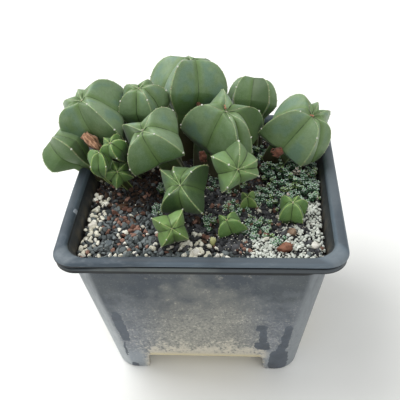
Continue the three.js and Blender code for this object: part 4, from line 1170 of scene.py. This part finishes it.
def creeper_leaf():
    """Succulent leaf skin under a waxy frost: each sprig has its own tone, from blue-green through
    yellow-green to a few that have blushed. Lower leaves are painted dark as shade under the top
    whorl, and top tips are palest."""
    material, node, place = new_material(
        "stonecrop_leaf", Roughness=0.38, IOR=1.42, Subsurface_Weight=0.15,
        Subsurface_Radius=(0.6, 1.2, 0.4), Subsurface_Scale=0.001,
    )
    tone, tip, level = [node("attribute", attribute_name=name) for name in ("tone", "tip", "level")]
    colour = node("mix", node("fade", tone, 0.0, 0.5), "2a5233", "4d8056")
    colour = node("mix", node("fade", tone, 0.6, 0.7), colour, "7d9c4c")
    colour = node("mix", node("fade", tone, 0.9, 0.94), colour, "d9c2b4")
    # Painted shade: the lower whorls darken to near black.
    colour = node("mix", node("fade", level, 0.98, 0.55), colour, "182c1f")
    frost = node("times", node("fade", tip, 0.5, 1.0), node("fade", level, 0.82, 1.0, 0.06, 0.92))
    relief = node("bump", blotches(node, place, 0.4, 2.0, 0.6), 0.04 * MM)
    paint(material, node("mix", frost, colour, "d9e6dc"), relief)
    return material


def basis(direction, roll):
    """Matrices whose first column is each direction and whose other two are square to it, rolled
    about it by an angle."""
    x = unit(direction)
    side = np.cross(np.array([0, 0, 1.0]), x)
    side /= np.maximum(np.linalg.norm(side, axis=1, keepdims=True), 1e-6)
    upper = np.cross(x, side)
    c, s = np.cos(roll)[:, None], np.sin(roll)[:, None]
    return np.stack([x, side * c + upper * s, upper * c - side * s], axis=-1)


def creeper_sprigs(cushions, seed):
    """Sprigs over each cushion by the sunflower rule, tallest in the middle. Returns foot, tip and
    tone of each."""
    random = np.random.default_rng(seed)
    feet, tips, tones = [], [], []
    for (cx, cy), (hx, hy), height, count in cushions:
        n = np.arange(count)
        share = np.sqrt((n + 0.5) / count)
        angle = n * GOLDEN_TURN + 0.6 * random.random(count)
        x = cx + 0.98 * share * hx * np.cos(angle)
        y = cy + 0.98 * share * hy * np.sin(angle)
        limit = body_half(SOIL_LEVEL) - WALL - 2.5
        x, y = x.clip(-limit, limit), y.clip(-limit, limit)
        ground = soil_height(x, y)
        clump = 0.6 + 0.4 * np.sin(0.62 * x + 1.1) * np.sin(0.5 * y + 0.4)
        rise = height * (1 - 0.35 * share**2) * clump * random.uniform(0.6, 1.2, count)
        lean = random.normal(size=(count, 2)) * 1.2
        feet.append(np.stack([x, y, ground - 0.8], axis=-1))
        tips.append(np.stack([x + lean[:, 0], y + lean[:, 1], ground + rise], axis=-1))
        patch = 0.22 + 0.3 * np.sin(0.35 * x + 1.7) * np.sin(0.3 * y)
        tone = (patch + random.uniform(0, 0.55, count)).clip(0, 0.88)
        for spot_at, width, value in TINTED:
            tone = np.where(near(x, y, spot_at, width) > 0.6, value, tone)
        tones.append(tone)
    return np.concatenate(feet) + POT_MIDDLE, np.concatenate(tips) + POT_MIDDLE, np.concatenate(tones)


def leaf_whorls(feet, tips, tones, seed):
    """Leaves in three whorls up each stem: the lower ones spread and the top ones close in a
    rosette. Each whorl has its level on the stem, how steeply its leaves rise, their length and
    their number."""
    random = np.random.default_rng(seed)
    leaf_points, leaf_faces = leaf_shape()
    places, ways, sizes, shades, levels = [], [], [], [], []
    for level, rise, length, number in ((0.5, 0.1, 1.5, 4), (0.76, 0.35, 1.75, 5), (1.0, 0.8, 1.55, 5)):
        for leaf in range(number):
            turn = 2 * np.pi * leaf / number + 2.0 * level + random.uniform(-0.3, 0.3, len(tips))
            tilt = rise + random.uniform(-0.2, 0.2, len(tips))
            ways.append(np.stack([np.cos(turn), np.sin(turn), tilt], axis=-1))
            places.append(feet + (tips - feet) * level)
            big = length * random.uniform(0.75, 1.2, len(tips))
            sizes.append(np.stack([big, big, big], axis=-1))
            shades.append((tones + random.uniform(-0.06, 0.06, len(tips))).clip(0, 1))
            levels.append(np.full(len(tips), level))
    ways = np.concatenate(ways)
    turns = basis(ways, random.uniform(-0.3, 0.3, len(ways)))
    points, faces = copies((leaf_points, leaf_faces), np.concatenate(places), turns, np.concatenate(sizes))
    tone = np.repeat(np.concatenate(shades), len(leaf_points))
    tip = np.tile(leaf_points[:, 0], len(ways))
    level = np.repeat(np.concatenate(levels), len(leaf_points))
    return points, faces, tone, tip, level


def stem_threads(feet, tips):
    """Each stem as a thin four-sided thread from foot to tip."""
    turn = np.radians([0, 90, 180, 270])
    rings = np.array([[[level, 0.28 * c, 0.28 * s] for c, s in zip(np.cos(turn), np.sin(turn))]
                      for level in (0.0, 1.0)])
    thread, faces = closed_skin(rings, [0, 0, 0], [1, 0, 0])
    length = np.linalg.norm(tips - feet, axis=1)
    ones = np.ones(len(feet))
    sizes = np.stack([length, ones, ones], axis=-1)
    return copies((thread, faces), feet, basis(tips - feet, 0 * ones), sizes)


def joined(first, second):
    """Two sets of points and faces as one."""
    shift = len(first[0])
    faces = [*first[1], *[block + shift for block in second[1]]]
    return np.concatenate([first[0], second[0]]), faces


leaf_finish = creeper_leaf()
for number, (name, cushions) in enumerate(CREEPERS.items()):
    feet, tips, tones = creeper_sprigs(cushions, 300 + number)
    leaves, leaf_blocks, tone, tip, level = leaf_whorls(feet, tips, tones, 320 + number)
    threads = stem_threads(feet, tips)
    points, faces = joined((leaves, leaf_blocks), threads)
    tone = np.append(tone, np.full(len(threads[0]), 0.2))
    tip = np.append(tip, np.zeros(len(threads[0])))
    level = np.append(level, np.zeros(len(threads[0])))
    mat = make_piece(f"{name}_sprigs", points, faces, leaf_finish, tone=tone, tip=tip, level=level)
    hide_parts(name)


# Withered flowers: last season's blooms, dried to papery tan and brown, that hang in the
# pleats of four heads. Each is a shrivelled tube of overlapping petals.

# Each flower: its foot from the pot's middle, the way it points, length, radius and paleness.
WITHERED = {
    "withered_flower_left": ((-68.5, 11, 121.5), (9.6, -5, -7.5), 13, 2.9, 0.9),
    "withered_flower_centre": ((-1.6, 8.6, 111.6), (0.1, -0.35, -0.9), 6.5, 2, 0.05),
    "withered_flower_right": ((44, 14.5, 109), (-6, -1.8, -1.8), 6.8, 2.5, 0.08),
    "withered_flower_back": ((-5, 39.3, 127), (0.1, -0.4, -0.9), 4, 1.2, 0.25),
}


def dry_petals():
    """Dried petals: papery, tan on the outside, with darker veins and burnt edges."""
    material, node, place = new_material("withered_petal", Roughness=0.85, Sheen_Weight=0.2)
    blotch = blotches(node, place, 1.6, 4.0, 0.7)
    colour = node("mix", node("attribute", attribute_name="tone"), "613526", "cfa27f")
    vein = node("attribute", attribute_name="vein")
    colour = node("mix", node("fade", vein, 0.35, 0.75, 0.0, 0.6), colour, "74432f")
    colour = node("mix", node("fade", blotch, 0.55, 0.7, 0.0, 0.6), colour, "5a3122")
    paint(material, colour, node("bump", blotch, 0.2 * MM))
    return material


PETALS = 13
SHEET_HALF = 0.12


def shrivelled_flower(start, axis, length, radius, tone, seed):
    """A bundle of petals round an axis. Each petal is a strip that follows the bundle's waist, with
    a fold down its middle, as a thin closed sheet: its front and its back a little apart, sewn
    together round the edge."""
    random = np.random.default_rng(seed)
    up = np.array(axis) / np.linalg.norm(axis)
    first = np.cross(up, [0, 0, 1.0])
    first /= np.linalg.norm(first)
    second = np.cross(up, first)
    t = np.linspace(0, 1, 15)[:, None]
    s = np.linspace(-1, 1, 9)[None, :]
    result = None
    veins, tones = [], []
    for petal in range(PETALS):
        bearing = petal * GOLDEN_TURN
        shell = 0.55 + 0.45 * petal / (PETALS - 1)
        waist = 0.55 + 0.5 * np.sin(np.pi * (0.12 + 0.8 * t)) - 0.18 * np.sin(3.1 * np.pi * t + petal)
        spread = (0.75 - 0.35 * t) * (1 - t**4) + 0.08
        fold = 0.16 * (1 - s**2) * np.sin(5 * t + petal)
        angle = bearing + s * spread + 0.5 * t
        reach = radius * shell * (waist + fold + 0.04 * random.normal(size=(15, 9)))
        along = length * (random.uniform(-0.1, 0.02) + random.uniform(0.85, 1.05) * t)
        along = along - 0.5 * s**2 * t
        centre = np.array(start) + up * along[..., None]
        sheets = []
        out = first * np.cos(angle)[..., None] + second * np.sin(angle)[..., None]
        for lift in (SHEET_HALF, -SHEET_HALF):
            sheets.append(centre + out * (reach + lift)[..., None])
        rings = np.concatenate([sheets[0], sheets[1][:, ::-1]], axis=1)
        skin = closed_skin(rings, rings[0].mean(axis=0), rings[-1].mean(axis=0))
        result = skin if result is None else joined(result, skin)
        ridge = np.concatenate([abs(s) + 0 * t, abs(s[:, ::-1]) + 0 * t], axis=1)
        veins.append(np.append((0.5 + 0.5 * np.sin(9 * ridge)).ravel(), [0, 0]))
        tones.append(np.full(rings.shape[0] * rings.shape[1] + 2, tone + random.uniform(-0.12, 0.12)))
    return result, np.concatenate(tones), np.concatenate(veins)


petal_finish = dry_petals()
for number, (name, (at, axis, length, radius, tone)) in enumerate(WITHERED.items()):
    start = np.array(at) + POT_MIDDLE
    (points, faces), tones, veins = shrivelled_flower(start, axis, length, radius, tone, 60 + number)
    flower = make_piece(f"{name}_petals", points, faces, petal_finish, tone=tones, vein=veins)
    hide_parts(name)


# Studio: a plain pale floor, a soft broad light from the upper left, a gentle fill, and the
# camera where the photographer stood, looking down at the pot's front.

# The camera's place is in millimetres. The floor's reach and level and the lights are in metres.
CAMERA_AT = (37.8, -332.0, 321.0)
CAMERA_YAW = -5.4
CAMERA_PITCH = 35.4
CAMERA_ROLL = -3.0
FOCAL = 700 / 400
SENSOR = 36
FLOOR_REACH = 3.0
FLOOR_LEVEL = -0.0002


def plain_floor():
    """A wide level floor of matt pale board, faintly clouded, a little under the pot's feet."""
    material, node, place = new_material("pale_board", Roughness=0.9)
    cloud = blotches(node, place, 60, 2.0)
    paint(material, node("mix", node("fade", cloud, 0.3, 0.7), "f4f4f2", "f7f7f5"))
    mesh = bpy.data.meshes.new("floor")
    square = FLOOR_REACH * np.array([[-1, -1], [1, -1], [1, 1], [-1, 1]])
    corners = [(x, y, FLOOR_LEVEL) for x, y in square]
    mesh.from_pydata(corners, [], [(0, 1, 2, 3)])
    mesh.materials.append(material)
    floor = bpy.data.objects.new("floor", mesh)
    bpy.context.scene.collection.objects.link(floor)


def seat(name, data, columns, place):
    """An object of that data at a place, with the columns as its own three axes."""
    matrix = np.eye(4)
    matrix[:3, :3] = np.stack(columns, axis=-1)
    matrix[:3, 3] = place
    holder = bpy.data.objects.new(name, data)
    holder.matrix_world = mathutils.Matrix(matrix)
    bpy.context.scene.collection.objects.link(holder)
    return holder


def soft_light(name, place, target, size, power, colour):
    """A square area light at a place in metres, turned to face a target."""
    lamp = bpy.data.lights.new(name, "AREA")
    lamp.size = size
    lamp.energy = power
    lamp.color = srgb(colour)[:3]
    back = unit(np.array(place) - np.array(target))
    right = unit(np.cross([0, 0, 1.0], back))
    seat(name, lamp, [right, np.cross(back, right), back], place)


def photo_camera():
    """The camera from its place and its three angles: yaw from +Y, pitch down and roll."""
    yaw, pitch, roll = np.radians([CAMERA_YAW, CAMERA_PITCH, CAMERA_ROLL])
    forward = np.array([np.sin(yaw) * np.cos(pitch), np.cos(yaw) * np.cos(pitch), -np.sin(pitch)])
    level = np.array([np.cos(yaw), -np.sin(yaw), 0])
    upward = np.cross(level, forward)
    right = np.cos(roll) * level + np.sin(roll) * upward
    rise = np.cos(roll) * upward - np.sin(roll) * level
    lens = bpy.data.cameras.new("camera")
    lens.sensor_fit = "HORIZONTAL"
    lens.sensor_width = SENSOR
    lens.lens = SENSOR * FOCAL
    bpy.context.scene.camera = seat("camera", lens, [right, rise, -forward], np.array(CAMERA_AT) * MM)


plain_floor()
soft_light("sky_left", (-0.62, 0.3, 1.0), (0, 0, 0.08), 1.0, 13, "fdfdfc")
soft_light("fill_front", (0.45, -0.9, 0.55), (0, 0, 0.08), 0.9, 2.5, "fffaf2")
world = bpy.data.worlds.new("studio")
world.use_nodes = True
world.node_tree.nodes["Background"].inputs["Color"].default_value = srgb("f3f5f5")
world.node_tree.nodes["Background"].inputs["Strength"].default_value = 0.77
bpy.context.scene.world = world
bpy.context.scene.view_settings.view_transform = "Standard"
photo_camera()
